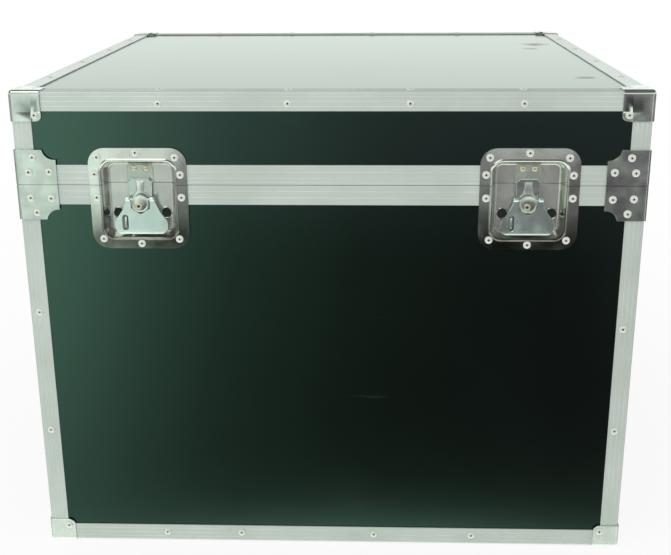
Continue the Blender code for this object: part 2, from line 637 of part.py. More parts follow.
def latch(which, side):
    centre = (LATCH_SHIFT + side * LATCH_SPACING / 2, -CASE_DEPTH / 2, SEAM_HEIGHT)
    hub = (centre[0], centre[1], HUB_HEIGHT)
    tag = which + "_latch"

    lower = latch_dish(tag + "_lower_dish", centre)
    cut(lower, half_space(tag + "_above_seam", -SEAM_GAP, CASE_HEIGHT, centre))
    lug_front = HANDLE_PLATE_FRONT + HANDLE_PLATE + LUG_BACK_GAP
    lug_middle = -HUB_DROP - HANDLE_SLOT_DROP
    fuse(lower, box(tag + "_lug", (-HANDLE_SLOT_OFFSET - LUG_THICKNESS / 2, lug_front, lug_middle - LUG_LENGTH / 2),
                    (-HANDLE_SLOT_OFFSET + LUG_THICKNESS / 2, LATCH_RECESS + STEEL / 2, lug_middle + LUG_LENGTH / 2),
                    centre))
    cut(lower, rod(tag + "_bore", (0, LATCH_RECESS - STEEL, -HUB_DROP), (0, TUB_BACK + BEYOND, -HUB_DROP),
                   SHAFT_RADIUS + CLEARANCE, BARREL_SIDES, location=centre))
    for number, across in enumerate((-LATCH_DRAIN_OFFSET, LATCH_DRAIN_OFFSET)):
        cut(lower, rod(f"{tag}_drain_{number}", (across, LATCH_RECESS - STEEL, -LATCH_DRAIN_DROP),
                       (across, TUB_BACK + BEYOND, -LATCH_DRAIN_DROP), LATCH_DRAIN_RADIUS, PIN_SIDES, location=centre))
    fuse(lower, *[rivet(f"{tag}_lower_rivet_{number}", (across, 0, up), (0, -1, 0), location=centre)
                  for number, (across, up) in enumerate(LATCH_LOWER_RIVETS)])
    finished(lower, CHROME)

    upper = latch_dish(tag + "_upper_dish", centre)
    cut(upper, half_space(tag + "_below_seam", -CASE_HEIGHT, SEAM_GAP, centre))
    fuse(upper, *[rivet(f"{tag}_upper_rivet_{number}", (across, 0, up), (0, -1, 0), location=centre)
                  for number, (across, up) in enumerate(LATCH_UPPER_RIVETS)])
    finished(upper, CHROME)

    keeper_back = LATCH_RECESS - CLEARANCE
    keeper = box(tag + "_keeper", (-KEEPER_WIDTH / 2, keeper_back - KEEPER_PLATE, KEEPER_SHELF_BOTTOM),
                 (KEEPER_WIDTH / 2, keeper_back, KEEPER_TOP), centre)
    fuse(keeper, box(tag + "_shelf", (-KEEPER_WIDTH / 2, KEEPER_SHELF_FRONT, KEEPER_SHELF_BOTTOM),
                     (KEEPER_WIDTH / 2, keeper_back - KEEPER_PLATE / 2, KEEPER_SHELF_TOP), centre))
    fuse(keeper, *[rivet(f"{tag}_keeper_rivet_{number}", (across, keeper_back - KEEPER_PLATE, up), (0, -1, 0),
                         KEEPER_RIVET_RADIUS, centre)
                   for number, (across, up) in enumerate(KEEPER_RIVETS)])
    finished(keeper, BRASSY)

    hook_low = -HUB_DROP - HOOK_TAIL
    hook = box(tag + "_hook_plate", (-HOOK_WIDTH / 2, HOOK_FRONT, hook_low),
               (HOOK_WIDTH / 2, HOOK_FRONT + HOOK_PLATE, HOOK_TOP), centre)
    fuse(hook, box(tag + "_claw", (-HOOK_WIDTH / 2, HOOK_FRONT + HOOK_PLATE / 2, KEEPER_SHELF_TOP + CLEARANCE),
                   (HOOK_WIDTH / 2, HOOK_CLAW_DEPTH, HOOK_TOP), centre))
    slot_half = SHAFT_RADIUS + CLEARANCE
    slot_low = -HUB_DROP - slot_half - HOOK_TRAVEL * math.cos(HOOK_LEAN)
    cut(hook, sheet(tag + "_hook_slot", rounded((-slot_half, slot_low), (slot_half, -HUB_DROP + slot_half),
                                                slot_half * SLOT_FULLNESS, SLOT_STEPS),
                    HOOK_FRONT - BEYOND, HOOK_FRONT + BEYOND, location=centre))
    finished(hook, CHROME)

    boss = rod(tag + "_hub", (0, HUB_FRONT, 0), (0, HUB_BACK, 0), HUB_RADIUS, BARREL_SIDES, location=hub)
    shaft = rod(tag + "_shaft", (0, HUB_BACK - STEEL, 0), (0, TUB_BACK - CLEARANCE, 0), SHAFT_RADIUS,
                BORE_SIDES, location=hub)
    fold_pin = rod(tag + "_fold_pin", (-FOLD_PIN_REACH, FOLD_AXIS_DEPTH, FOLD_AXIS_RISE),
                   (FOLD_PIN_REACH, FOLD_AXIS_DEPTH, FOLD_AXIS_RISE), FOLD_PIN_RADIUS, PIN_SIDES, location=hub)
    finished(fuse(boss, shaft, fold_pin), CHROME)

    fold = (hub[0], hub[1] + FOLD_AXIS_DEPTH, hub[2] + FOLD_AXIS_RISE)
    plate_front = HANDLE_PLATE_FRONT - FOLD_AXIS_DEPTH
    wings = sheet(tag + "_handle", handle_outline(), plate_front, plate_front + HANDLE_PLATE, location=fold)
    bores = []
    for number, direction in enumerate((-1, 1)):
        fuse(wings, rod(f"{tag}_knuckle_{number}", (direction * KNUCKLE_START, 0, 0),
                        (direction * KNUCKLE_END, 0, 0), KNUCKLE_RADIUS, BORE_SIDES, location=fold))
        bores.append(rod(f"{tag}_knuckle_bore_{number}", (direction * HUB_RADIUS, 0, 0),
                         (direction * (KNUCKLE_END + STEEL), 0, 0), FOLD_PIN_RADIUS + CLEARANCE, PIN_SIDES,
                         location=fold))
    slot_middle = -HANDLE_SLOT_DROP - FOLD_AXIS_RISE
    padlock_slot = rounded((-HANDLE_SLOT_OFFSET - HANDLE_SLOT_WIDTH / 2, slot_middle - HANDLE_SLOT_LENGTH / 2),
                           (-HANDLE_SLOT_OFFSET + HANDLE_SLOT_WIDTH / 2, slot_middle + HANDLE_SLOT_LENGTH / 2),
                           HANDLE_SLOT_WIDTH / 2 * SLOT_FULLNESS, SLOT_STEPS)
    cut(wings, *bores, sheet(tag + "_padlock_slot", padlock_slot, -BEYOND, BEYOND, location=fold))
    finished(wings, CHROME)


# Butterfly handle outline, as (across, below the fold axis), down one side; the other side mirrors it
HANDLE_EAR_INNER = 0.0103
HANDLE_EAR_OUTER = 0.0160
HANDLE_FLANK = ((0.0162, -0.0085), (0.0177, -0.0132), (0.0213, -0.0172), (0.0258, -0.0198), (0.0276, -0.0243),
                (0.0274, -0.0290), (0.0250, -0.0325), (0.0205, -0.0346), (0.0140, -0.0359), (0.0070, -0.0366))
HANDLE_CUT_SHOULDER = 0.0101
HANDLE_CUT_POINT = 0.0164


def handle_outline():
    """Ears either side of the hub, a pointed cut-out below it, and two flared wings."""
    right = [(HANDLE_EAR_INNER, 0.0), (HANDLE_EAR_OUTER, 0.0), *HANDLE_FLANK]
    left = [(-across, up) for across, up in reversed(right)]
    cut_out = [(-HANDLE_EAR_INNER, -HANDLE_CUT_SHOULDER), (0.0, -HANDLE_CUT_POINT),
               (HANDLE_EAR_INNER, -HANDLE_CUT_SHOULDER)]
    return right + left + cut_out


for latch_name, latch_side in LATCH_SIDES.items():
    latch(latch_name, latch_side)


# Rear hinges: the base leaf carries the pin in its two outer knuckles

def hinge(which, side):
    axis = (side * HINGE_SPACING / 2, CASE_DEPTH / 2 + HINGE_AXIS_OFFSET, SEAM_HEIGHT)
    tag = which + "_hinge"
    half, middle = HINGE_WIDTH / 2, HINGE_MIDDLE_KNUCKLE / 2
    leaf_front = -HINGE_AXIS_OFFSET - EXTRUSION_INSET + CLEARANCE
    leaf_back = leaf_front + HINGE_LEAF
    room = HINGE_BARREL_RADIUS + CLEARANCE

    base_leaf = box(tag + "_base_leaf", (-half, leaf_front, -HINGE_LEAF_HEIGHT), (half, leaf_back, -SEAM_GAP), axis)
    cut(base_leaf, rod(tag + "_base_room", (-middle - CLEARANCE, 0, 0), (middle + CLEARANCE, 0, 0), room,
                       BARREL_SIDES, location=axis))
    for number, (start, stop) in enumerate(((-half, -middle - CLEARANCE), (middle + CLEARANCE, half))):
        fuse(base_leaf,
             box(f"{tag}_base_root_{number}", (start, leaf_back - CLEARANCE, -HINGE_ROOT_HEIGHT),
                 (stop, 0, -SEAM_GAP * 2), axis),
             rod(f"{tag}_base_knuckle_{number}", (start, 0, 0), (stop, 0, 0), HINGE_BARREL_RADIUS, BORE_SIDES,
                 location=axis))
    fuse(base_leaf, rod(tag + "_pin", (-half + STEEL, 0, 0), (half - STEEL, 0, 0), HINGE_PIN_RADIUS,
                        PIN_SIDES, location=axis))
    finished(base_leaf, ZINC)

    lid_leaf = box(tag + "_lid_leaf", (-half, leaf_front, SEAM_GAP), (half, leaf_back, HINGE_LEAF_HEIGHT), axis)
    for number, (start, stop) in enumerate(((-half - STEEL, -middle), (middle, half + STEEL))):
        cut(lid_leaf, rod(f"{tag}_lid_room_{number}", (start, 0, 0), (stop, 0, 0), room, BARREL_SIDES,
                          location=axis))
    fuse(lid_leaf,
         box(tag + "_lid_root", (-middle, leaf_back - CLEARANCE, SEAM_GAP * 2), (middle, 0, HINGE_ROOT_HEIGHT), axis),
         rod(tag + "_lid_knuckle", (-middle, 0, 0), (middle, 0, 0), HINGE_BARREL_RADIUS, BORE_SIDES, location=axis))
    cut(lid_leaf, rod(tag + "_pin_bore", (-half, 0, 0), (half, 0, 0), HINGE_PIN_RADIUS + CLEARANCE,
                      BORE_SIDES, location=axis))
    finished(lid_leaf, ZINC)


for hinge_name, hinge_side in LATCH_SIDES.items():
    hinge(hinge_name, hinge_side)


# Recessed side handles

def bail_path():
    """A U from ear to ear with its corners rounded, as (along, up) points from the pivot."""
    drop = BAIL_PIVOT_RISE + BAIL_GRIP_DROP
    end = SIDE_OPENING_LENGTH / 2 - EAR_WIDTH / 3
    arm, bend = BAIL_ARM_OFFSET, BAIL_BEND_RADIUS
    upper, lower = [], []
    for step in range(5):
        angle = math.pi / 2 * step / 4
        upper.append((arm + bend - bend * math.sin(angle), -bend + bend * math.cos(angle)))
        lower.append((arm - bend + bend * math.cos(angle), -drop + bend - bend * math.sin(angle)))
    right = [(end, 0.0), *upper, *lower]
    return [(-across, up) for across, up in right] + list(reversed(right))


def side_handle(which, side):
    centre = (side * CASE_WIDTH / 2, 0, SIDE_HANDLE_HEIGHT)
    tag = which + "_side_handle"
    inward = -side
    half_flange = (SIDE_FLANGE_LENGTH / 2, SIDE_FLANGE_HEIGHT / 2)
    opening = (SIDE_OPENING_LENGTH / 2, SIDE_OPENING_HEIGHT / 2)
    tub_half = (opening[0] + SIDE_WALL, opening[1] + SIDE_WALL)
    dish = sheet(tag + "_dish", rounded((-half_flange[0], -half_flange[1]), half_flange, SIDE_FLANGE_RADIUS),
                 inward * SIDE_FLANGE_INSET, inward * (SIDE_FLANGE_INSET + SIDE_WALL), "X", centre)
    tub = sheet(tag + "_tub", rounded((-tub_half[0], -tub_half[1]), tub_half, SIDE_OPENING_RADIUS + SIDE_WALL),
                inward * (SIDE_FLANGE_INSET - SIDE_LIP_PROUD), inward * SIDE_TUB_BACK, "X", centre)
    hollow = sheet(tag + "_hollow", rounded((-opening[0], -opening[1]), opening, SIDE_OPENING_RADIUS),
                   -inward * BEYOND, inward * (SIDE_TUB_BACK - SIDE_WALL), "X", centre)
    cut(fuse(dish, tub), hollow)
    pivot_inset = SIDE_FLANGE_INSET + BAIL_DEPTH
    for number, direction in enumerate((-1, 1)):
        along = sorted((direction * (opening[0] - EAR_WIDTH), direction * (opening[0] + SIDE_WALL / 2)))
        across = sorted((inward * (pivot_inset - EAR_HEIGHT / 2), inward * (SIDE_TUB_BACK - SIDE_WALL / 2)))
        fuse(dish, box(f"{tag}_ear_{number}", (across[0], along[0], BAIL_PIVOT_RISE - EAR_HEIGHT / 2),
                       (across[1], along[1], BAIL_PIVOT_RISE + EAR_HEIGHT / 2), centre))
        bore_ends = sorted((direction * (opening[0] - EAR_WIDTH - STEEL), direction * (opening[0] + SIDE_WALL / 3)))
        cut(dish, rod(f"{tag}_ear_bore_{number}", (inward * pivot_inset, bore_ends[0], BAIL_PIVOT_RISE),
                      (inward * pivot_inset, bore_ends[1], BAIL_PIVOT_RISE), BAIL_RADIUS + CLEARANCE,
                      BORE_SIDES, location=centre))
    fuse(dish, *[rivet(f"{tag}_rivet_{number}", (inward * SIDE_FLANGE_INSET, along, up), (side, 0, 0),
                       location=centre)
                 for number, (along, up) in enumerate(SIDE_RIVETS)])
    finished(dish, ZINC)

    pivot = (centre[0] + inward * pivot_inset, 0, SIDE_HANDLE_HEIGHT + BAIL_PIVOT_RISE)
    curve = bpy.data.curves.new(tag + "_bail", "CURVE")
    curve.dimensions = "3D"
    curve.bevel_depth = BAIL_RADIUS
    curve.bevel_resolution = 2
    curve.use_fill_caps = True
    path = bail_path()
    spline = curve.splines.new("POLY")
    spline.points.add(len(path) - 1)
    for point, (along, up) in zip(spline.points, path):
        point.co = (0, along, up, 1)
    finished(mesh_from_curve(tag + "_bail", curve, Matrix.Identity(4), pivot), ZINC)

    drop = BAIL_PIVOT_RISE + BAIL_GRIP_DROP
    grip = rod(tag + "_grip", (0, -GRIP_LENGTH / 2, -drop), (0, GRIP_LENGTH / 2, -drop), GRIP_RADIUS,
               BARREL_SIDES, location=pivot)
    cut(grip, rod(tag + "_grip_bore", (0, -GRIP_LENGTH, -drop), (0, GRIP_LENGTH, -drop),
                  BAIL_RADIUS + CLEARANCE, BORE_SIDES, location=pivot))
    finished(grip, RUBBER)


for handle_name, handle_side in LATCH_SIDES.items():
    side_handle(handle_name, handle_side)


# Foam linings: five glued slabs in the base, the front one just behind the latch dishes and the side
# ones cut out round the handle dishes, and one moulded block in the lid

def slab(name, low, high, openings=()):
    piece = box(name, low, high)
    for number, (open_low, open_high) in enumerate(openings):
        cut(piece, box(f"{name}_opening_{number}", open_low, open_high))
    return finished(piece, FOAM)


foam_floor = PANEL_INNER + CLEARANCE
foam_ceiling = CASE_HEIGHT - PANEL_INNER - CLEARANCE
wall_low, wall_high = foam_floor + FOAM_FLOOR + CLEARANCE, SEAM_HEIGHT - RIM_BAND - CLEARANCE
outer_x, outer_y = CASE_WIDTH / 2 - LINING_INSET, CASE_DEPTH / 2 - LINING_INSET
inner_x, inner_y = CASE_WIDTH / 2 - CAVITY_INSET, CASE_DEPTH / 2 - CAVITY_INSET
end_x = inner_x - CLEARANCE
HANDLE_WINDOWS = side_openings(CAVITY_INSET + BEYOND)
slab("base_foam_floor", (-outer_x, -outer_y, foam_floor), (outer_x, outer_y, foam_floor + FOAM_FLOOR))
slab("base_foam_front", (-end_x, TUB_BACK + CLEARANCE - CASE_DEPTH / 2, wall_low), (end_x, -inner_y, wall_high))
slab("base_foam_rear", (-end_x, inner_y, wall_low), (end_x, outer_y, wall_high))
slab("base_foam_left", (-outer_x, -outer_y, wall_low), (-inner_x, outer_y, wall_high), HANDLE_WINDOWS)
slab("base_foam_right", (inner_x, -outer_y, wall_low), (outer_x, outer_y, wall_high), HANDLE_WINDOWS)
slab("lid_foam", (-outer_x, -outer_y, SEAM_HEIGHT + RIM_BAND + CLEARANCE), (outer_x, outer_y, foam_ceiling),
     [*LID_NOTCHES, ((-inner_x, -inner_y, 0), (inner_x, inner_y, foam_ceiling - FOAM_FLOOR))])
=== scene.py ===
import math

import bmesh
import bpy
from mathutils import Matrix, Vector


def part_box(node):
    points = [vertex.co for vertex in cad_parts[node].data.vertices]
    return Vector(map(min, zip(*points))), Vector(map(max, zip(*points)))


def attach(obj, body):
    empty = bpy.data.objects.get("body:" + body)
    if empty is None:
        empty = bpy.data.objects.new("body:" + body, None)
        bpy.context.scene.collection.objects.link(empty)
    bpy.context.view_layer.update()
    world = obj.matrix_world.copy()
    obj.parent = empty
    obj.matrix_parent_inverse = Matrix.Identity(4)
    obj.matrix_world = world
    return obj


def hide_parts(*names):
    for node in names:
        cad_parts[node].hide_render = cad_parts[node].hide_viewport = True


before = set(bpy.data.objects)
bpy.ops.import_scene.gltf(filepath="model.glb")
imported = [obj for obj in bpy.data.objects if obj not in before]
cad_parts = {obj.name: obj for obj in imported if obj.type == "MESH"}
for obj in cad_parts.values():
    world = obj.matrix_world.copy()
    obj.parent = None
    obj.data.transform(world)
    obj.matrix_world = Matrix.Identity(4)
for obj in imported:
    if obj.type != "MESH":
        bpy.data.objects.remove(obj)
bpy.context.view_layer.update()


# The camera stands in front of the case, a little to its right and above the lid, so that the
# front shows square and the lid as a narrow band. Lens and place come from the case's corners.
CAMERA_PLACE = Vector((0.0454, -1.43125, 0.6921))
CAMERA_LENS = 57.34
CAMERA_TURN = math.radians(-2.057)
CAMERA_DIP = math.radians(18.10)
CAMERA_ROLL = math.radians(-0.341)
CAMERA_SENSOR = 36

forward = Vector((math.sin(CAMERA_TURN) * math.cos(CAMERA_DIP), math.cos(CAMERA_TURN) * math.cos(CAMERA_DIP),
                  -math.sin(CAMERA_DIP)))
level = Vector((math.cos(CAMERA_TURN), -math.sin(CAMERA_TURN), 0))
upward = level.cross(forward)
across = math.cos(CAMERA_ROLL) * level + math.sin(CAMERA_ROLL) * upward
upright = math.cos(CAMERA_ROLL) * upward - math.sin(CAMERA_ROLL) * level
bpy.ops.object.camera_add()
camera = bpy.context.object
camera.name = "studio_camera"
camera.data.lens = CAMERA_LENS
camera.data.sensor_width = CAMERA_SENSOR
camera.matrix_world = Matrix.Translation(CAMERA_PLACE) @ Matrix((across, upright, -forward)).transposed().to_4x4()
bpy.context.scene.camera = camera
bpy.context.scene.view_settings.view_transform = "Standard"


# The studio: a white surround and a pale floor under one broad soft lamp. Bright metal sees a room
# that is pale on its left and dark on its right, with a screen far out on each side, a table below
# and a dark ceiling. A wall is painted in stops, each a place from left to right and a colour.
ROOM_FILL = 0.94
ROOM_ABOVE = (1.22, 1.31, 1.23, 1)
ROOM_TABLE = (1.45, 1.62, 1.46, 1)
ROOM_SCREENS = (1.10, 1.18, 1.16, 1)
ROOM_CEILING = (0.17, 0.18, 0.17, 1)
WALL_AT_EYE_LEVEL = ((0.0, (0.40, 0.44, 0.42, 1)), (0.06, (1.22, 1.42, 1.30, 1)), (0.20, (1.06, 1.24, 1.12, 1)),
                     (0.29, (0.74, 0.84, 0.80, 1)), (0.39, (0.47, 0.50, 0.51, 1)), (0.58, (0.24, 0.23, 0.25, 1)),
                     (0.72, (0.19, 0.17, 0.20, 1)))
WALL_LOW_DOWN = ((0.0, (0.40, 0.44, 0.42, 1)), (0.10, (0.96, 1.18, 1.04, 1)), (0.17, (0.96, 1.18, 1.04, 1)),
                 (0.29, (0.42, 0.54, 0.48, 1)), (0.39, (0.18, 0.25, 0.20, 1)), (0.58, (0.05, 0.075, 0.06, 1)),
                 (0.86, (0.04, 0.04, 0.04, 1)), (0.96, (0.12, 0.13, 0.11, 1)))
WALL_SPAN = (-0.42, 0.30)
WALL_FOOT = (-0.47, -0.30)
WALL_FOOT_SHADE = 0.6
EYE_LEVEL = (-0.285, -0.20)
SCREEN_STOPS = ((0.47, 0.0), (0.52, 1.0), (0.61, 1.0), (0.67, 0.0))
TABLE_EDGE = (-0.528, -0.514)
WALL_HEAD = (-0.15, 0.03)
CEILING_EDGE = (0.22, 0.42)
LAMP_PLACE, LAMP_AIM = Vector((-0.9, -1.3, 2.4)), Vector((0, 0, 0.3))
LAMP_SIZE, LAMP_POWER = 1.6, 16
FLOOR_COLOUR = (0.80, 0.80, 0.79, 1)
FLOOR_SIZE = 9.0
FLOOR_NEAR = 0.6
FLOOR_FAR = 2.2
FLOOR_GLOW = 0.88


def add_node(tree, kind, sockets=None, **settings):
    """One shader node: its settings, then its sockets by name or number, each a value or a wire."""
    made = tree.nodes.new(kind)
    for name, value in settings.items():
        setattr(made, name, value)
    for name, value in (sockets or {}).items():
        if isinstance(value, bpy.types.NodeSocket):
            tree.links.new(value, made.inputs[name])
        else:
            made.inputs[name].default_value = value
    return made


def ramp(tree, wire, *stops):
    """A colour ramp over a wire: each stop is a place from 0 to 1 and a colour or a grey."""
    made = add_node(tree, "ShaderNodeValToRGB", {0: wire})
    places = made.color_ramp.elements
    while len(places) < len(stops):
        places.new(1)
    for place, (at, colour) in zip(places, stops):
        place.position = at
        place.color = colour if isinstance(colour, tuple) else (colour, colour, colour, 1)
    return made.outputs[0]


def sums(tree, operation, first, second=0.0):
    """One sum on one or two wires or numbers."""
    made = add_node(tree, "ShaderNodeMath", {0: first, 1: second}, operation=operation)
    return made.outputs[0]


def spread(tree, wire, low, high, at_low=0.0, at_high=1.0):
    """A wire's range from low to high stretched over another range, and held at its ends."""
    made = add_node(tree, "ShaderNodeMapRange", {0: wire, 1: low, 2: high, 3: at_low, 4: at_high})
    return made.outputs[0]


def split(tree, wire):
    """The three parts of a place or a direction."""
    return add_node(tree, "ShaderNodeSeparateXYZ", {0: wire}).outputs


def mixed(tree, share, first, second):
    """Two colours mixed by a wire or a number."""
    made = add_node(tree, "ShaderNodeMix", {0: share, 6: first, 7: second}, data_type="RGBA")
    return made.outputs[2]


room = bpy.data.worlds.new("studio_room")
room.use_nodes = True
bpy.context.scene.world = room
paint = room.node_tree
paint.nodes.clear()
looking = add_node(paint, "ShaderNodeLightPath")
aside, _, up = split(paint, add_node(paint, "ShaderNodeTexCoord").outputs["Generated"])
along = spread(paint, aside, *WALL_SPAN)
low_down = mixed(paint, spread(paint, up, *WALL_FOOT, WALL_FOOT_SHADE), (0, 0, 0, 1),
                 ramp(paint, along, *WALL_LOW_DOWN))
seen = mixed(paint, spread(paint, up, *EYE_LEVEL), low_down, ramp(paint, along, *WALL_AT_EYE_LEVEL))
seen = mixed(paint, ramp(paint, sums(paint, "ABSOLUTE", aside), *SCREEN_STOPS), seen, ROOM_SCREENS)
seen = mixed(paint, spread(paint, up, *TABLE_EDGE, 1.0, 0.0), seen, ROOM_TABLE)
seen = mixed(paint, spread(paint, up, *WALL_HEAD), seen, ROOM_ABOVE)
seen = mixed(paint, spread(paint, up, *CEILING_EDGE), seen, ROOM_CEILING)
glossy = mixed(paint, looking.outputs["Is Glossy Ray"], (ROOM_FILL, ROOM_FILL, ROOM_FILL, 1), seen)
surround = mixed(paint, looking.outputs["Is Camera Ray"], glossy, (1, 1, 1, 1))
background = add_node(paint, "ShaderNodeBackground", {0: surround, 1: 1.0})
add_node(paint, "ShaderNodeOutputWorld", {0: background.outputs[0]})

bpy.ops.object.light_add(type="AREA", location=LAMP_PLACE)
lamp = bpy.context.object
lamp.name = "overhead_lamp"
lamp.data.size = LAMP_SIZE
lamp.data.energy = LAMP_POWER
lamp.rotation_euler = (LAMP_AIM - LAMP_PLACE).to_track_quat("-Z", "Y").to_euler()

bpy.ops.object.select_all(action="DESELECT")
bpy.ops.mesh.primitive_circle_add(vertices=96, radius=FLOOR_SIZE / 2, fill_type="NGON")
floor = bpy.context.object
floor.name = "studio_floor"
cover = bpy.data.materials.new("pale_floor")
cover.use_nodes = True
tree = cover.node_tree
tree.nodes.clear()
looking = add_node(tree, "ShaderNodeLightPath")
spot = add_node(tree, "ShaderNodeTexCoord").outputs["Object"]
reach = add_node(tree, "ShaderNodeVectorMath", {0: spot}, operation="LENGTH").outputs["Value"]
fade = spread(tree, reach, FLOOR_NEAR, FLOOR_FAR, FLOOR_GLOW)
board = add_node(tree, "ShaderNodeBsdfDiffuse", {"Color": FLOOR_COLOUR})
glow = add_node(tree, "ShaderNodeEmission", {"Color": (1, 1, 1, 1), "Strength": 1.0})
lit = sums(tree, "MULTIPLY", fade, looking.outputs["Is Camera Ray"])
shown = add_node(tree, "ShaderNodeMixShader", {0: lit, 1: board.outputs[0], 2: glow.outputs[0]})
clear = add_node(tree, "ShaderNodeBsdfTransparent")
unseen = add_node(tree, "ShaderNodeMixShader",
                  {0: looking.outputs["Is Glossy Ray"], 1: shown.outputs[0], 2: clear.outputs[0]})
add_node(tree, "ShaderNodeOutputMaterial", {0: unseen.outputs[0]})
floor.data.materials.append(cover)


# Ten boards of birch plywood with a black laminate on both faces: sawn square and dropped into
# the edging. The laminate is smooth, a little green, faintly scuffed, and dull where hands rub it.
TOP = 0.534
BOARD_COLOUR = (0.0028, 0.0026, 0.0026, 1)
BOARD_PALE = (0.0040, 0.0040, 0.0038, 1)
BOARD_GLOSS = 0.11
BOARD_SCRATCH = (0.30, 0.32, 0.30, 1)
LACQUER_IOR = 1.85
LACQUER_TINT = (0.52, 1.0, 0.80, 1)
SCUFF_SHOWN, SCUFF_DULL, RUB_DULL = 0.06, 0.2, 0.16
RUBBED = ((0.280, 0.150, 0.045), (0.266, 0.090, 0.024), (0.284, -0.213, 0.030))


def surface(name, colour, roughness, metallic):
    """A material with its Principled shader and the coordinates of the piece it is on."""
    made = bpy.data.materials.new(name)
    made.use_nodes = True
    shader = made.node_tree.nodes["Principled BSDF"]
    shader.inputs["Base Color"].default_value = colour
    shader.inputs["Roughness"].default_value = roughness
    shader.inputs["Metallic"].default_value = metallic
    where = add_node(made.node_tree, "ShaderNodeTexCoord").outputs["Object"]
    return made, made.node_tree, shader, where


def noise(tree, where, scale, detail=2.0, roughness=0.5, stretch=(1, 1, 1)):
    """Cloudy noise on a piece, drawn out along the axes with a small stretch."""
    laid = add_node(tree, "ShaderNodeMapping", {"Vector": where, "Scale": stretch})
    made = add_node(tree, "ShaderNodeTexNoise", {"Vector": laid.outputs[0], "Scale": scale, "Detail": detail,
                                                 "Roughness": roughness})
    return made.outputs["Fac"]


def feed(shader, socket, wire):
    """Runs a wire into one socket of a shader."""
    shader.id_data.links.new(wire, shader.inputs[socket])


def raised(tree, shader, height, distance):
    """Bump from a height wire, so many metres deep."""
    made = add_node(tree, "ShaderNodeBump", {"Height": height, "Distance": distance})
    feed(shader, "Normal", made.outputs[0])


def black_laminate():
    made, tree, shader, where = surface("black_laminate", BOARD_COLOUR, BOARD_GLOSS, 0.0)
    clouds = noise(tree, where, 5.0, 4.0, 0.6)
    wire = mixed(tree, ramp(tree, clouds, (0.38, 0.0), (0.66, 1.0)), BOARD_COLOUR, BOARD_PALE)
    streaks = noise(tree, where, 90.0, 3.0, 0.6, (0.04, 1.0, 0.7))
    wear_and_shade_mask = noise(tree, where, 7.0, 2.0)
    scuffs = sums(tree, "MULTIPLY", ramp(tree, streaks, (0.66, 0.0), (0.74, 1.0)),
                  ramp(tree, wear_and_shade_mask, (0.55, 0.0), (0.68, 1.0)))
    worn = mixed(tree, sums(tree, "MULTIPLY", scuffs, SCUFF_SHOWN), wire, BOARD_SCRATCH)
    feed(shader, "Base Color", worn)
    polish = spread(tree, noise(tree, where, 14.0, 5.0, 0.65), 0.3, 0.7, BOARD_GLOSS - 0.005, BOARD_GLOSS + 0.01)
    rubbed = sums(tree, "MULTIPLY", scuffs, SCUFF_DULL)
    for x, y, reach in RUBBED:
        spot = add_node(tree, "ShaderNodeMapping", {"Vector": where, "Location": (-x, -y, -TOP)})
        away = add_node(tree, "ShaderNodeVectorMath", {0: spot.outputs[0]}, operation="LENGTH").outputs["Value"]
        ragged = sums(tree, "ADD", sums(tree, "DIVIDE", away, reach), noise(tree, where, 60.0, 4.0, 0.7))
        patch = sums(tree, "MULTIPLY", ramp(tree, ragged, (0.75, 1.0), (1.0, 0.0)), RUB_DULL)
        rubbed = sums(tree, "ADD", rubbed, patch)
    feed(shader, "Roughness", sums(tree, "ADD", polish, rubbed))
    shader.inputs["IOR"].default_value = LACQUER_IOR
    shader.inputs["Specular Tint"].default_value = LACQUER_TINT
    raised(tree, shader, noise(tree, where, 700.0, 2.0), 0.000008)
    return made


def coated(piece, *finishes):
    """Gives a piece these finishes in place of any that it has."""
    piece.data.materials.clear()
    for finish in finishes:
        piece.data.materials.append(finish)
    return piece


laminate = black_laminate()
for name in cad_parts:
    if name.endswith("_panel"):
        coated(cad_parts[name], laminate)


# Aluminium edging: drawn angle round every edge of the base and lid, and the two closure profiles
# that meet at the seam. Bright as it left the die, with three fine ribs along each leg. The sides,
# front and rear are measured over the steel corners. Upward faces carry painted shade on the front
# and rear and painted light on the sides, sideways faces away from the outer sides carry painted
# light, and the ribs are painted paler as a painted highlight.
SIDE = 0.335
FRONT, REAR = -0.32845, 0.32155
SEAM = 0.4335
ALUMINIUM_COLOUR = (0.55, 0.605, 0.56, 1)
ALUMINIUM_PALE = (0.60, 0.655, 0.61, 1)
# Painted shade on the upward faces of the front and rear edging, and painted light on the upward faces of the side
# edging:
ALUMINIUM_PAINTED_SHADE_UP = (0.35, 0.385, 0.355, 1)
ALUMINIUM_SIDE_PAINTED_LIGHT = (0.66, 0.72, 0.67, 1)
# Painted light on faces that turn sideways away from the edging's outer sides, such as the inward steps of the side
# flanges:
ALUMINIUM_SIDEWAYS_PAINTED_LIGHT = (0.90, 0.95, 0.91, 1)
# The ribs' paler colour is a painted highlight:
RIB_PAINTED_HIGHLIGHT = (0.72, 0.78, 0.73, 1)
DRAWN_OUT = 0.006
FACING = 0.9
EDGING_LEG = 0.022
RIB_WIDTH = 0.0009
RIB_FRONT = 0.00123
RIB_BACK = 0.0018
RIB_EDGE = 0.0002
LEG_RIBS = (0.007, 0.012, 0.017)
CLOSURE_RIBS = {"base": (-0.0138, -0.0070), "lid": (0.0026, 0.0070, 0.0138)}
RIB_END = 0.0225
LATCH_X = (-0.2035, 0.2105)
LATCH_CLEAR = 0.050


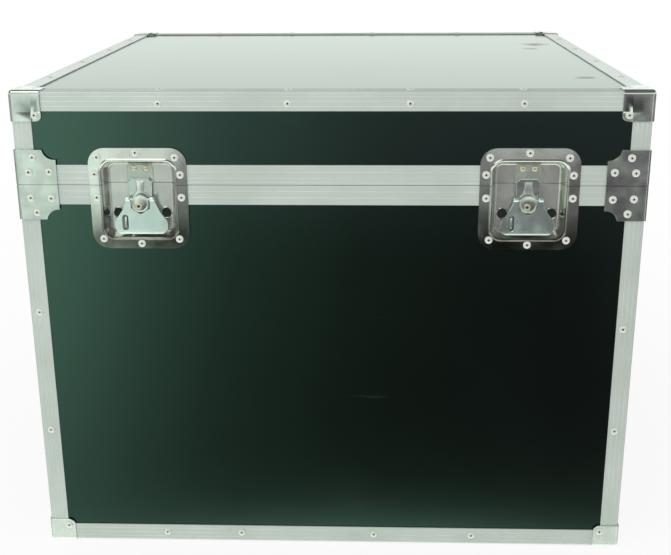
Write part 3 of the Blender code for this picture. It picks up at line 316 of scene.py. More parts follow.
def drawn_aluminium(name, colour, pale):
    made, tree, shader, where = surface(name, colour, 0.38, 0.35)
    shader.inputs["Specular IOR Level"].default_value = 0.0
    from_middle = sums(tree, "ABSOLUTE", split(tree, where)[0])
    side_bar = sums(tree, "GREATER_THAN", from_middle, SIDE - EDGING_LEG)
    along_x = noise(tree, where, 900.0, 2.0, 0.5, (DRAWN_OUT, 1, 1))
    along_y = noise(tree, where, 900.0, 2.0, 0.5, (1, DRAWN_OUT, 1))
    lines = mixed(tree, side_bar, along_x, along_y)
    clouds = noise(tree, where, 16.0, 3.0)
    tone = mixed(tree, ramp(tree, clouds, (0.35, 0.0), (0.65, 1.0)), colour, pale)
    facing = split(tree, add_node(tree, "ShaderNodeNewGeometry").outputs["True Normal"])
    # Upward faces take painted shade on the front and rear edging and painted light on the side edging:
    wear_and_shade_mask = sums(tree, "GREATER_THAN", facing[2], FACING)
    # Sideways faces away from the outer sides take painted light:
    sideways_painted_light = sums(tree, "MULTIPLY", sums(tree, "GREATER_THAN", sums(tree, "ABSOLUTE", facing[0]), FACING),
                sums(tree, "LESS_THAN", from_middle, SIDE - EDGING_LEG / 2))
    flange = mixed(tree, side_bar, ALUMINIUM_PAINTED_SHADE_UP, ALUMINIUM_SIDE_PAINTED_LIGHT)
    feed(shader, "Base Color", mixed(tree, sideways_painted_light, mixed(tree, wear_and_shade_mask, tone, flange), ALUMINIUM_SIDEWAYS_PAINTED_LIGHT))
    # The faces with painted light and shade are also made less metallic.
    painted_light_and_shade = sums(tree, "MAXIMUM", wear_and_shade_mask, sideways_painted_light)
    feed(shader, "Metallic", spread(tree, painted_light_and_shade, 0.0, 1.0, 0.35, 0.10))
    feed(shader, "Roughness", spread(tree, lines, 0.3, 0.7, 0.32, 0.46))
    raised(tree, shader, lines, 0.000012)
    return made


def take(*pieces):
    """Ends any shaping by hand and selects these pieces alone, the first one active."""
    if bpy.context.mode != "OBJECT":
        bpy.ops.object.mode_set(mode="OBJECT")
    bpy.ops.object.select_all(action="DESELECT")
    for piece in pieces:
        piece.select_set(True)
    if pieces:
        bpy.context.view_layer.objects.active = pieces[0]


def settled():
    """The new primitive, with its place put into its mesh."""
    bpy.ops.object.transform_apply(location=True, rotation=True, scale=True)
    return bpy.context.object


def block(start, stop):
    """A cube primitive between two opposite corners."""
    take()
    low, high = (Vector([end(pair) for pair in zip(start, stop)]) for end in (min, max))
    bpy.ops.mesh.primitive_cube_add(size=1, location=(low + high) / 2, scale=high - low)
    return settled()


def joined(name, pieces):
    """Several pieces made one."""
    take(*pieces)
    if len(pieces) > 1:
        bpy.ops.object.join()
    bpy.context.object.name = name
    return bpy.context.object


def worked(piece, kind, **settings):
    """One modifier set on a piece and applied."""
    take(piece)
    tool = piece.modifiers.new(kind.lower(), kind)
    for name, value in settings.items():
        setattr(tool, name, value)
    bpy.ops.object.modifier_apply(modifier=tool.name)
    return piece


def fitted(piece, body, slot, *instead):
    """Fixes a piece to the body that carries it and hides the nodes it stands for. Its slot is not used."""
    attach(piece, body)
    if instead:
        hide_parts(*instead)


def ribs(name, body, upright_low, upright_high, flange, closure):
    """The ribs of one half of the case, laid along every leg of its edging and closure profile."""
    runs = []
    half = RIB_WIDTH / 2
    flange_front, flange_back = (TOP - RIB_FRONT, TOP - RIB_BACK) if flange > SEAM else (RIB_FRONT, RIB_BACK)
    into_case = -1 if flange > SEAM else 1
    end_x, front_y, rear_y = SIDE - RIB_END, FRONT + RIB_END, REAR - RIB_END
    for inset in LEG_RIBS:
        across = SIDE - inset
        up = flange + into_case * inset
        for side in (-1, 1):
            face_front, face_back = side * (SIDE - RIB_FRONT), side * (SIDE - RIB_BACK)
            for wall, inward in ((FRONT, 1), (REAR, -1)):
                runs += [((side * across - half, wall + inward * RIB_FRONT, upright_low),
                          (side * across + half, wall + inward * RIB_BACK, upright_high)),
                         ((face_front, wall + inward * inset - half, upright_low),
                          (face_back, wall + inward * inset + half, upright_high))]
            runs += [((face_front, front_y, up - half), (face_back, rear_y, up + half)),
                     ((side * across - half, front_y, flange_front), (side * across + half, rear_y, flange_back))]
        for wall, inward in ((FRONT, 1), (REAR, -1)):
            near_side, far_side = wall + inward * inset - half, wall + inward * inset + half
            runs += [((-end_x, wall + inward * RIB_FRONT, up - half), (end_x, wall + inward * RIB_BACK, up + half)),
                     ((-end_x, near_side, flange_front), (end_x, far_side, flange_back))]
    reach = SIDE - EDGING_LEG / 8
    stops = (-reach, LATCH_X[0] - LATCH_CLEAR, LATCH_X[0] + LATCH_CLEAR, LATCH_X[1] - LATCH_CLEAR,
             LATCH_X[1] + LATCH_CLEAR, reach)
    for rise in closure:
        low, high = SEAM + rise - half, SEAM + rise + half
        runs += [((start, FRONT + RIB_FRONT, low), (stop, FRONT + RIB_BACK, high))
                 for start, stop in zip(stops[::2], stops[1::2])]
        runs.append(((-reach, REAR - RIB_FRONT, low), (reach, REAR - RIB_BACK, high)))
        runs += [((side * (SIDE - RIB_FRONT), FRONT + SIDE - reach, low),
                  (side * (SIDE - RIB_BACK), REAR - SIDE + reach, high)) for side in (-1, 1)]
    made = worked(joined(name, [block(*run) for run in runs]), "BEVEL", width=RIB_EDGE, segments=1)
    fitted(coated(made, rib_aluminium), body, "aluminium_edging")


aluminium = drawn_aluminium("drawn_aluminium", ALUMINIUM_COLOUR, ALUMINIUM_PALE)
# The ribs are painted paler than the edging, as a painted highlight.
rib_aluminium = drawn_aluminium("ribs_painted_highlight", ALUMINIUM_PALE, RIB_PAINTED_HIGHLIGHT)
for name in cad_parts:
    if "edge_frame" in name or "_rim" in name:
        coated(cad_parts[name], aluminium)
ribs("base_edging_ribs", "base", RIB_END, SEAM - EDGING_LEG, 0.0, CLOSURE_RIBS["base"])
ribs("lid_edging_ribs", "lid", SEAM + EDGING_LEG, TOP - RIB_END, TOP, CLOSURE_RIBS["lid"])


# Semi-tubular steel rivets with a low domed head and a bore painted near black as painted shade,
# set by a press through edging and board. One head is modelled and then copied wherever a rivet sits.
RIVET_SIDES = 16
RIVET_RADIUS = 0.0042
RIVET_ROOT = 0.0004
RIVET_RINGS = ((0.0002, 0.0005), (0.0008, 0.00035), (0.0012, 0.00015), (0.00085, 0.0), (0.00015, -0.0012))
RIVET_BORE = 0.0011
EDGING_FACE = 0.0015
SMOOTH_ANGLE = 35
LID_LINE, BASE_LINE = 0.5200, 0.0130
FRONT_RIVETS = {"lid": [(x, LID_LINE) for x in (-0.178, -0.043, 0.084, 0.201)],
                "base": [(x, BASE_LINE) for x in (-0.195, -0.107, 0.049, 0.163)]
                + [(-0.323, 0.289), (-0.323, 0.145), (0.320, 0.273), (0.320, 0.150)]}
FLANK_RIVETS = {"lid": [(y, LID_LINE) for y in (-0.215, -0.072, 0.070, 0.205)],
                "base": [(y, BASE_LINE) for y in (-0.205, -0.065, 0.075, 0.210)]
                + [(-0.312, 0.285), (-0.312, 0.148), (0.312, 0.285), (0.312, 0.148)]}
MIDDLE = (FRONT + REAR) / 2
FLANGE_INSET = 0.0135


def pick(piece, kind, test):
    """Selects, in edit mode, the points, edges or faces whose middle and direction pass a test."""
    bpy.ops.mesh.select_mode(type=kind)
    bpy.ops.mesh.select_all(action="DESELECT")
    mesh = bmesh.from_edit_mesh(piece.data)
    for part in {"VERT": mesh.verts, "EDGE": mesh.edges, "FACE": mesh.faces}[kind]:
        if kind == "VERT":
            middle, way = part.co, part.normal
        elif kind == "EDGE":
            start, stop = (point.co for point in part.verts)
            middle, way = (start + stop) / 2, (stop - start).normalized()
        else:
            middle, way = part.calc_center_median(), part.normal
        if test(middle, way):
            part.select_set(True)
    bmesh.update_edit_mesh(piece.data)


def editing(piece):
    """Opens a piece for shaping by hand."""
    take(piece)
    bpy.ops.object.mode_set(mode="EDIT")


def shaped(piece, angle=SMOOTH_ANGLE):
    """Closes the shaping of a piece and smooths every bend under so many degrees."""
    take(piece)
    bpy.ops.object.shade_smooth_by_angle(angle=math.radians(angle))
    return piece


def eased(width, segments, affect="EDGES"):
    """Rounds off the selected edges or corners."""
    bpy.ops.mesh.bevel(offset=width, offset_type="OFFSET", segments=segments, affect=affect)


def drawn(*step):
    """Draws the selected face or edge out by a step."""
    bpy.ops.mesh.extrude_region_move(TRANSFORM_OT_translate={"value": step})


def rings(*steps):
    """Insets the selected face again and again: each step is a width and a rise."""
    for width, rise in steps:
        bpy.ops.mesh.inset(thickness=width, depth=rise)


rivet_steel, tree, shader, where = surface("rivet_steel", (0.72, 0.74, 0.68, 1), 0.34, 0.45)
shade = noise(tree, where, 160.0, 3.0)
feed(shader, "Base Color", mixed(tree, shade, (0.66, 0.68, 0.62, 1), (0.80, 0.82, 0.76, 1)))
raised(tree, shader, noise(tree, where, 320.0, 2.0), 0.00003)
# The bore's near-black colour is painted shade down the hole.
bore_painted_shade, tree, shader, where = surface("rivet_bore_painted_shade", (0.008, 0.008, 0.008, 1), 0.7, 0.0)
raised(tree, shader, noise(tree, where, 900.0, 2.0), 0.00004)

take()
bpy.ops.mesh.primitive_cylinder_add(vertices=RIVET_SIDES, radius=RIVET_RADIUS, depth=2 * RIVET_ROOT)
rivet_head = coated(bpy.context.object, rivet_steel, bore_painted_shade)
editing(rivet_head)
pick(rivet_head, "FACE", lambda middle, way: way.z > FACING)
rings(*RIVET_RINGS)
shaped(rivet_head)
# The faces of the bore take the painted shade.
for face in rivet_head.data.polygons:
    if face.center.xy.length < RIVET_BORE and face.center.z > 0:
        face.material_index = 1


def copied(piece, name):
    """A copy of a piece with its own mesh."""
    copy = piece.copy()
    copy.data = piece.data.copy()
    copy.name = name
    bpy.context.scene.collection.objects.link(copy)
    return copy


def moved(piece, place):
    """Puts a piece's mesh in its place, so that the piece itself stays at the origin."""
    piece.data.transform(place)
    return piece


def set_rivets(name, places):
    """Rivet heads standing on their faces, made one piece: each place is a point and a way out."""
    heads = []
    for point, outward in places:
        turn = Vector(outward).to_track_quat("Z", "Y").to_matrix().to_4x4()
        heads.append(moved(copied(rivet_head, "rivet"), Matrix.Translation(point) @ turn))
    return joined(name, heads)


for body in ("base", "lid"):
    face = (FRONT + EDGING_FACE, REAR - EDGING_FACE, SIDE - EDGING_FACE)
    places = [((x, face[0], z), (0, -1, 0)) for x, z in FRONT_RIVETS[body]]
    places += [((-x, face[1], z), (0, 1, 0)) for x, z in FRONT_RIVETS[body]]
    for side in (-1, 1):
        places += [((side * face[2], MIDDLE + y, z), (side, 0, 0)) for y, z in FLANK_RIVETS[body]]
    flange = TOP - EDGING_FACE if body == "lid" else EDGING_FACE
    outward = (0, 0, 1) if body == "lid" else (0, 0, -1)
    for x, _ in FRONT_RIVETS[body][:4]:
        places += [((x, FRONT + FLANGE_INSET, flange), outward), ((-x, REAR - FLANGE_INSET, flange), outward)]
    for y, _ in FLANK_RIVETS[body][:4]:
        places += [((side * (SIDE - FLANGE_INSET), MIDDLE + y, flange), outward) for side in (-1, 1)]
    fitted(set_rivets(body + "_edging_rivets", places), body, "zinc_plated_steel")


# Pressed steel corners, zinc plated: three lobes folded round each corner of the case, joggled
# where they step off the edging onto the board, and one rivet through each upright lobe.
STEEL_COLOUR = (0.60, 0.63, 0.59, 1)
STEEL_DULL = (0.50, 0.52, 0.48, 1)
SHEET = 0.0012
CORNER_FOLD = 0.004
FOLD_END = 0.0044
CORNER_LOBE = 0.0075
JOGGLE_START = 0.0224
JOGGLE_END = 0.0240
JOGGLE_DEPTH = 0.00135
SHEET_EDGE = 0.00035
HAIR = 0.00005
CREASE = 50
TOP_REACH, TOP_HEIGHT, TOP_RIVET = 0.0335, 0.0330, (0.0262, 0.0260)
FOOT_REACH, FOOT_HEIGHT, FOOT_RIVET = 0.0305, 0.0285, (0.0232, 0.0212)


def plated_steel(name="plated_steel", colour=STEEL_COLOUR, dull=STEEL_DULL, gloss=0.17, metallic=1.0):
    made, tree, shader, where = surface(name, colour, gloss, metallic)
    clouds = noise(tree, where, 38.0, 4.0, 0.6)
    tone = mixed(tree, ramp(tree, clouds, (0.40, 0.0), (0.70, 1.0)), colour, dull)
    feed(shader, "Base Color", tone)
    polish = spread(tree, noise(tree, where, 60.0, 4.0), 0.3, 0.7, gloss - 0.06, gloss + 0.10)
    feed(shader, "Roughness", polish)
    raised(tree, shader, noise(tree, where, 55.0, 3.0), 0.00008)
    return made


def near(first, second):
    """Whether two measures are the same to a hair."""
    return abs(first - second) < HAIR


def everything():
    """Selects the whole of the mesh that is being shaped."""
    bpy.ops.mesh.select_all(action="SELECT")


def scored(*planes):
    """Cuts a line across a whole sheet at each plane: a point and a way."""
    for point, way in planes:
        everything()
        bpy.ops.mesh.bisect(plane_co=point, plane_no=way)


def chamfered(piece, width, segments=1, angle=CREASE):
    """Takes the edge off every crease of a piece over so many degrees."""
    return worked(piece, "BEVEL", width=width, segments=segments, limit_method="ANGLE",
                  angle_limit=math.radians(angle))


def walled(piece, thickness=SHEET):
    """Gives a sheet its thickness, inwards from its outer face."""
    return worked(piece, "SOLIDIFY", thickness=thickness, offset=-1, use_even_offset=True)


def finished(piece, finish, angle=SMOOTH_ANGLE):
    """Closes the shaping of a piece and gives it its one finish."""
    return coated(shaped(piece, angle), finish)


def steel_corner(reach, height, rivet, joggled, plating):
    """The corner at the front, left and top, with its rivets: other corners are mirrored from it."""
    x, y, z = -SIDE, FRONT, TOP
    piece = block((x, y, z - height), (x + reach, y + reach, z))
    editing(piece)
    pick(piece, "FACE", lambda middle, way: way.x > FACING or way.y > FACING or way.z < -FACING)
    bpy.ops.mesh.delete(type="FACE")
    pick(piece, "VERT", lambda at, way: [near(at.x, x + reach), near(at.y, y + reach),
                                         near(at.z, z - height)].count(True) == 2)
    eased(CORNER_LOBE, 7, "VERTICES")
    pick(piece, "EDGE", lambda at, way: [near(at.x, x), near(at.y, y), near(at.z, z)].count(True) == 2)
    eased(CORNER_FOLD, 5)
    for inset in (FOLD_END, JOGGLE_START, JOGGLE_END) if joggled else (FOLD_END,):
        scored(((x + inset, 0, 0), (1, 0, 0)), ((0, y + inset, 0), (0, 1, 0)), ((0, 0, z - inset), (0, 0, 1)))
    if joggled:
        limit = JOGGLE_END - 2 * HAIR
        for face, press in (((0, 1, 1), (JOGGLE_DEPTH, 0, 0)), ((1, 0, 1), (0, JOGGLE_DEPTH, 0)),
                            ((1, 1, 0), (0, 0, -JOGGLE_DEPTH))):
            pick(piece, "VERT", lambda at, way: all(
                (inset > limit) if beyond else (inset < 2 * HAIR)
                for inset, beyond in zip((at.x - x, at.y - y, z - at.z), face)))
            bpy.ops.transform.translate(value=press)
    finished(chamfered(walled(piece), SHEET_EDGE), plating)
    depth = JOGGLE_DEPTH if joggled else 0.0
    inset, drop = rivet
    heads = set_rivets("heads", [((x + inset, y + depth, z - drop), (0, -1, 0)),
                                 ((x + depth, y + inset, z - drop), (-1, 0, 0))])
    return joined("steel_corner", [piece, heads])


def mirrored(piece, name, x, y, z=1, height=0.0):
    """A copy mirrored about the middle of the case or a height, its faces outwards."""
    middle = Matrix.Translation((0, MIDDLE, height))
    copy = moved(copied(piece, name), middle @ Matrix.Diagonal((x, y, z, 1)) @ middle.inverted())
    if x * y * z < 0:
        copy.data.flip_normals()
    return copy


steel = plated_steel()
foot_steel = plated_steel("scuffed_steel", (0.76, 0.80, 0.75, 1), (0.66, 0.70, 0.65, 1), 0.24, 0.62)
cap = steel_corner(TOP_REACH, TOP_HEIGHT, TOP_RIVET, True, steel)
foot = steel_corner(FOOT_REACH, FOOT_HEIGHT, FOOT_RIVET, False, foot_steel)
CORNERS = {"front_left": (1, 1), "front_right": (-1, 1), "rear_left": (1, -1), "rear_right": (-1, -1)}
for corner, (x, y) in CORNERS.items():
    fitted(mirrored(cap, "cap_" + corner, x, y), "lid", "zinc_plated_steel", "top_corner_" + corner)
    fitted(mirrored(foot, "foot_" + corner, x, y, -1, TOP / 2), "base", "zinc_plated_steel", "bottom_corner_" + corner)
for piece in (cap, foot):
    bpy.data.objects.remove(piece)


# Steel braces, zinc plated: a plate folded round each upright edge above the seam and another
# below it, scooped out at the inner corners, with three rivets through each side.
BRACE_REACH = 0.045
BRACE_HEIGHT = 0.038
BRACE_FOLD = 0.003
SEAM_ROOM = 0.00025
SCOOP_RADIUS = 0.0135
SCOOP_RISE = 0.0405
BRACE_RIVETS = ((0.0204, 0.030), (0.0370, 0.0145), (0.0150, 0.0140))


def carved(piece, tools):
    """Cuts what these tools hold out of a piece, and throws the tools away."""
    for tool in tools:
        worked(piece, "BOOLEAN", operation="DIFFERENCE", object=tool, solver="EXACT")
        bpy.data.objects.remove(tool)
    return piece


def rod(start, end, radius, sides=32):
    """A cylinder primitive from one point to another."""
    take()
    start, end = Vector(start), Vector(end)
    bpy.ops.mesh.primitive_cylinder_add(vertices=sides, radius=radius, depth=(end - start).length,
                                        location=(start + end) / 2,
                                        rotation=(end - start).to_track_quat("Z", "Y").to_euler())
    return settled()


x, y = -SIDE, FRONT
brace = block((x, y, SEAM + SEAM_ROOM), (x + BRACE_REACH, y + BRACE_REACH, SEAM + BRACE_HEIGHT))
editing(brace)
pick(brace, "FACE", lambda middle, way: way.x > FACING or way.y > FACING or abs(way.z) > FACING)
bpy.ops.mesh.delete(type="FACE")
pick(brace, "EDGE", lambda at, way: near(at.x, x) and near(at.y, y))
eased(BRACE_FOLD, 6)
scored(((x + FOLD_END, 0, 0), (1, 0, 0)), ((0, y + FOLD_END, 0), (0, 1, 0)))
walled(brace)
scoop, rise = BRACE_REACH - SHEET, SEAM + SCOOP_RISE
carved(brace, [rod((x + scoop, y - SHEET, rise), (x + scoop, y + 3 * SHEET, rise), SCOOP_RADIUS),
               rod((x - SHEET, y + scoop, rise), (x + 3 * SHEET, y + scoop, rise), SCOOP_RADIUS)])
finished(chamfered(brace, SHEET_EDGE), steel)
places = []
for inset, rise in BRACE_RIVETS:
    places += [((x + inset, y, SEAM + rise), (0, -1, 0)), ((x, y + inset, SEAM + rise), (-1, 0, 0))]
brace = joined("brace", [brace, set_rivets("heads", places)])
for corner, (x, y) in CORNERS.items():
    for body, z in (("lid", 1), ("base", -1)):
        fitted(mirrored(brace, f"{body}_seam_brace_{corner}", x, y, z, SEAM), body, "zinc_plated_steel",
               f"{body}_brace_{corner}")
bpy.data.objects.remove(brace)


# Recessed latch dishes, pressed from bright-plated sheet: a flat riveted flange, a rolled bead
# round the opening and a flat-floored tub, cut through at the seam into a lower and an upper half.
FLANGE_HALF = 0.0525
FLANGE_LOW, FLANGE_HIGH = -0.070, 0.040
FLANGE_RADIUS = 0.018
OPENING_HALF = 0.0385
OPENING_LOW, OPENING_HIGH = -0.0572, 0.0252
OPENING_RADIUS = 0.0105
BEAD_WIDTH = 0.0034
TUB_STEPS = ((0.0005, 0.00045), (0.0007, 0.0005), (0.0007, 0.0001), (0.0007, -0.0004), (0.0004, -0.0009),
             (0.0004, -0.0020), (0.0006, -0.0040), (0.0022, -0.0052), (0.0010, -0.0018), (0.0016, -0.00085),
             (0.0006, 0.0))
FLANGE_RISE = 0.0003
UPPER_RIVETS = ((-0.0425, 0.0303), (-0.0013, 0.0352), (0.0402, 0.0300), (-0.0460, 0.0120), (0.0452, 0.0114))
LOWER_RIVETS = ((-0.0452, -0.0133), (0.0456, -0.0133), (-0.0408, -0.0590), (0.0002, -0.0642), (0.0413, -0.0592))
DISH_EDGE = 0.0005
TUB_SATIN, TUB_SATIN_SPAN = 0.60, (0.0118, 0.0132)
# A dark brown reflection painted on the outer face of each dish's flange, low down:
LOW_REFLECTION_COLOUR = (0.095, 0.080, 0.072, 1)
LOW_REFLECTION_SHARE, LOW_REFLECTION_SPAN, LOW_REFLECTION_DEPTH = 0.95, (-0.058, -0.020), 0.002
DRAIN_X, DRAIN_Z = 0.0260, -0.0333
DRAIN_RADIUS = 0.0052
DRAIN_LIP, DRAIN_LIP_SUNK = 0.0016, 0.0002
TUB_DEPTH = 0.0137
LUG_X, LUG_Z = -0.0170, -0.0420
LUG_LENGTH, LUG_WIDTH, LUG_FRONT = 0.012, 0.0026, 0.0050


def outline_here(low, high, radius):
    """Adds, in edit mode, a rounded rectangle of edges facing the front, between two (across, up) corners."""
    middle = ((low[0] + high[0]) / 2, 0, (low[1] + high[1]) / 2)
    bpy.ops.mesh.primitive_plane_add(size=1, location=middle, rotation=(math.pi / 2, 0, 0))
    bpy.ops.transform.resize(value=(high[0] - low[0], 1, high[1] - low[1]), center_override=middle)
    eased(radius, 8, "VERTICES")
    bpy.ops.mesh.delete(type="ONLY_FACE")


def faced(piece):
    """Turns every face of an open sheet to the front."""
    everything()
    bpy.ops.mesh.normals_make_consistent(inside=False)
    if sum(face.normal.y for face in bmesh.from_edit_mesh(piece.data).faces) > 0:
        bpy.ops.mesh.flip_normals()


def pressed_dish(flange_low, flange_high, flange_radius, open_low, open_high, open_radius, steps):
    """A dish pressed from a flat sheet at the origin: its flange, its bead and its tub, facing the front."""
    take()
    bpy.ops.mesh.primitive_plane_add(size=1)
    dish = bpy.context.object
    editing(dish)
    everything()
    bpy.ops.mesh.delete(type="VERT")
    outline_here(flange_low, flange_high, flange_radius)
    outline_here([at - BEAD_WIDTH for at in open_low], [at + BEAD_WIDTH for at in open_high],
                 open_radius + BEAD_WIDTH)
    everything()
    bpy.ops.mesh.bridge_edge_loops()
    edge_across, edge_up = open_high[0] + BEAD_WIDTH + 2 * HAIR, (open_low[1] + open_high[1]) / 2
    edge_rise = open_high[1] + BEAD_WIDTH + 2 * HAIR - edge_up
    pick(dish, "VERT", lambda at, way: abs(at.x) < edge_across and abs(at.z - edge_up) < edge_rise)
    bpy.ops.mesh.edge_face_add()
    bpy.ops.transform.translate(value=(0, -FLANGE_RISE, 0))
    pick(dish, "VERT", lambda at, way: near(at.y, 0))
    bpy.ops.transform.translate(value=(0, FLANGE_RISE, 0))
    faced(dish)
    pick(dish, "FACE", lambda at, way: near(at.x, 0) and abs(at.z - edge_up) < edge_rise / 2)
    rings(*steps)
    return walled(dish)


def half_dish(whole, name, height, keep_above):
    """A copy of a whole dish, sawn off at a height and closed."""
    part = copied(whole, name)
    editing(part)
    everything()
    bpy.ops.mesh.bisect(plane_co=(0, 0, height), plane_no=(0, 0, 1), use_fill=True,
                        clear_inner=keep_above, clear_outer=not keep_above)
    take(part)
    return part


def front_rivets(places):
    """Rivets on the flange of a dish at the origin: each place is across and up."""
    return set_rivets("heads", [((x, 0, z), (0, -1, 0)) for x, z in places])


dish_chrome = plated_steel("chromed_dish", (0.64, 0.66, 0.61, 1), (0.52, 0.53, 0.49, 1), 0.13)
tree = dish_chrome.node_tree
shader = tree.nodes["Principled BSDF"]
where = add_node(tree, "ShaderNodeTexCoord").outputs["Object"]
_, back, up = split(tree, where)
dulled = spread(tree, back, *[FRONT + depth for depth in TUB_SATIN_SPAN], 1.0, TUB_SATIN)
feed(shader, "Metallic", dulled)
# Painted reflection: the flange's outer face turns dark brown towards the bottom, broken up by noise.
low = spread(tree, up, *[SEAM + rise for rise in LOW_REFLECTION_SPAN], LOW_REFLECTION_SHARE, 0.0)
outer = spread(tree, back, FRONT, FRONT + LOW_REFLECTION_DEPTH, 1.0, 0.0)
painted_reflection = sums(tree, "MULTIPLY", sums(tree, "MULTIPLY", low, outer),
               ramp(tree, noise(tree, where, 45.0, 4.0), (0.30, 0.70), (0.60, 1.0)))
plating = shader.inputs["Base Color"].links[0].from_socket
feed(shader, "Base Color", mixed(tree, painted_reflection, plating, LOW_REFLECTION_COLOUR))
chrome = plated_steel("chromed_steel", (0.64, 0.68, 0.65, 1), (0.54, 0.56, 0.52, 1), 0.15, 0.92)
whole_dish = pressed_dish((-FLANGE_HALF, FLANGE_LOW), (FLANGE_HALF, FLANGE_HIGH), FLANGE_RADIUS,
                          (-OPENING_HALF, OPENING_LOW), (OPENING_HALF, OPENING_HIGH), OPENING_RADIUS, TUB_STEPS)
upper_dish = half_dish(whole_dish, "upper_dish", SEAM_ROOM, True)
lower_dish = half_dish(whole_dish, "lower_dish", -SEAM_ROOM, False)
bpy.data.objects.remove(whole_dish)
drills = [rod((side * DRAIN_X, TUB_DEPTH - SHEET, DRAIN_Z), (side * DRAIN_X, TUB_DEPTH + 2 * SHEET, DRAIN_Z),
              DRAIN_RADIUS) for side in (-1, 1)]
carved(lower_dish, drills)
for dish in (upper_dish, lower_dish):
    finished(chamfered(dish, DISH_EDGE), dish_chrome)
lips = []
for side in (-1, 1):
    take()
    bpy.ops.mesh.primitive_torus_add(major_segments=36, minor_segments=10, major_radius=DRAIN_RADIUS + DRAIN_LIP / 2,
                                     minor_radius=DRAIN_LIP / 2, rotation=(math.pi / 2, 0, 0),
                                     location=(side * DRAIN_X, TUB_DEPTH - DRAIN_LIP_SUNK, DRAIN_Z))
    lips.append(finished(settled(), chrome))
lug = block((LUG_X - LUG_WIDTH / 2, LUG_FRONT, LUG_Z - LUG_LENGTH / 2),
            (LUG_X + LUG_WIDTH / 2, TUB_DEPTH + SHEET / 2, LUG_Z + LUG_LENGTH / 2))
finished(chamfered(lug, DISH_EDGE, 3), chrome)
lower_dish = joined("lower_dish", [lower_dish, *lips, lug, front_rivets(LOWER_RIVETS)])
upper_dish = joined("upper_dish", [upper_dish, front_rivets(UPPER_RIVETS)])


# Keeper plates on the lid, zinc plated: a plate with a folded shelf that the hook pulls on, and two
# brassy rivets with smooth heads.
KEEPER_HALF = 0.014
KEEPER_TOP = 0.0198
KEEPER_FRONT, KEEPER_BACK = 0.0128, 0.0137
SHELF_FRONT, SHELF_LOW, SHELF_HIGH = 0.0101, 0.0005, 0.0020
KEEPER_RIVET_X, KEEPER_RIVET_Z = 0.0063, 0.0160
KEEPER_CORNER = 0.003
BRASSY_RADIUS, BRASSY_ROOT, BRASSY_RISE = 0.0035, 0.0002, 0.0004
BRASSY_STEPS = ((0.0004, 0.0004), (0.0009, 0.0004), (0.0011, 0.0002))

keeper_zinc = plated_steel("keeper_zinc", (0.55, 0.60, 0.54, 1), (0.47, 0.51, 0.45, 1), 0.26, 0.65)
brassy = plated_steel("brassy_rivet", (0.66, 0.63, 0.46, 1), (0.54, 0.50, 0.36, 1), 0.24, 0.7)
keeper = block((-KEEPER_HALF, KEEPER_FRONT, SHELF_LOW), (KEEPER_HALF, KEEPER_BACK, KEEPER_TOP))
editing(keeper)
pick(keeper, "EDGE", lambda at, way: abs(way.y) > FACING and at.z > KEEPER_TOP / 2)
eased(KEEPER_CORNER, 5)
shelf = block((-KEEPER_HALF, SHELF_FRONT, SHELF_LOW), (KEEPER_HALF, KEEPER_BACK - SHEET / 4, SHELF_HIGH))
for plate in (keeper, shelf):
    finished(chamfered(plate, SHEET_EDGE), keeper_zinc)
domes = []
for side in (-1, 1):
    dome = rod((side * KEEPER_RIVET_X, KEEPER_FRONT + BRASSY_ROOT, KEEPER_RIVET_Z),
               (side * KEEPER_RIVET_X, KEEPER_FRONT - BRASSY_RISE, KEEPER_RIVET_Z), BRASSY_RADIUS, 24)
    editing(dome)
    pick(dome, "FACE", lambda at, way: way.y < -FACING)
    rings(*BRASSY_STEPS)
    domes.append(finished(dome, brassy, 60))
keeper = joined("keeper", [keeper, shelf, *domes])


# Hook plates, bright plated: a strip with a pressed bottle shape round the hub, pressed back at its
# sides, and a claw folded in at the top that pulls the keeper's shelf down.
HUB_Z = -0.0205
HOOK_HALF = 0.0124
HOOK_LOW, HOOK_HIGH = -0.0370, 0.0050
HOOK_SIDES, HOOK_BACK = 0.0091, 0.0098
CLAW_LOW, CLAW_BACK = 0.0023, 0.0123
HOOK_CORNER, HOOK_EDGE = 0.0032, 0.0004
BOTTLE = ((0.0044, 0.0024), (0.0044, -0.0066), (0.0049, -0.0086), (0.0059, -0.0104), (0.0074, -0.0120),
          (0.0090, -0.0137), (0.0102, -0.0156), (0.0110, -0.0179), (0.0113, -0.0205), (0.0110, -0.0231),
          (0.0102, -0.0254), (0.0090, -0.0273), (0.0074, -0.0290), (0.0055, -0.0304), (0.0030, -0.0314))
BOTTLE_STEPS = ((0.0003, 0.0002), (0.0004, 0.0005), (0.0005, 0.0001))


def blanked(rows, front):
    """A flat face in the front plane, drawn out downwards from row to row: each is a half width and a height."""
    (half, top), (_, second) = rows[:2]
    middle = (0, front, (top + second) / 2)
    take()
    bpy.ops.mesh.primitive_plane_add(size=1, location=middle, rotation=(math.pi / 2, 0, 0))
    face = settled()
    editing(face)
    everything()
    bpy.ops.transform.resize(value=(2 * half, 1, top - second), center_override=middle)
    for (wide, low), (_, high) in zip(rows[2:], rows[1:]):
        pick(face, "EDGE", lambda at, way: near(at.z, high) and abs(way.x) > FACING)
        drawn(0, 0, low - high)
        pick(face, "VERT", lambda at, way: near(at.z, low))
        bpy.ops.transform.resize(value=(wide / half, 1, 1), center_override=(0, front, low))
        half = wide
    faced(face)
    return face


strip = block((-HOOK_HALF, HOOK_SIDES, HOOK_LOW), (HOOK_HALF, HOOK_BACK, HOOK_HIGH))
editing(strip)
pick(strip, "EDGE", lambda at, way: abs(way.y) > FACING)
eased(HOOK_CORNER, 1)
claw = block((HOOK_CORNER - HOOK_HALF, HOOK_SIDES + 2 * HAIR, CLAW_LOW),
             (HOOK_HALF - HOOK_CORNER, CLAW_BACK, HOOK_HIGH))
bottle = blanked(BOTTLE, HOOK_SIDES)
bpy.ops.mesh.dissolve_faces()
rings(*BOTTLE_STEPS)
for plate in (strip, claw):
    chamfered(plate, HOOK_EDGE)
for plate in (strip, claw, bottle):
    finished(plate, chrome)
hook = joined("hook", [strip, claw, bottle])


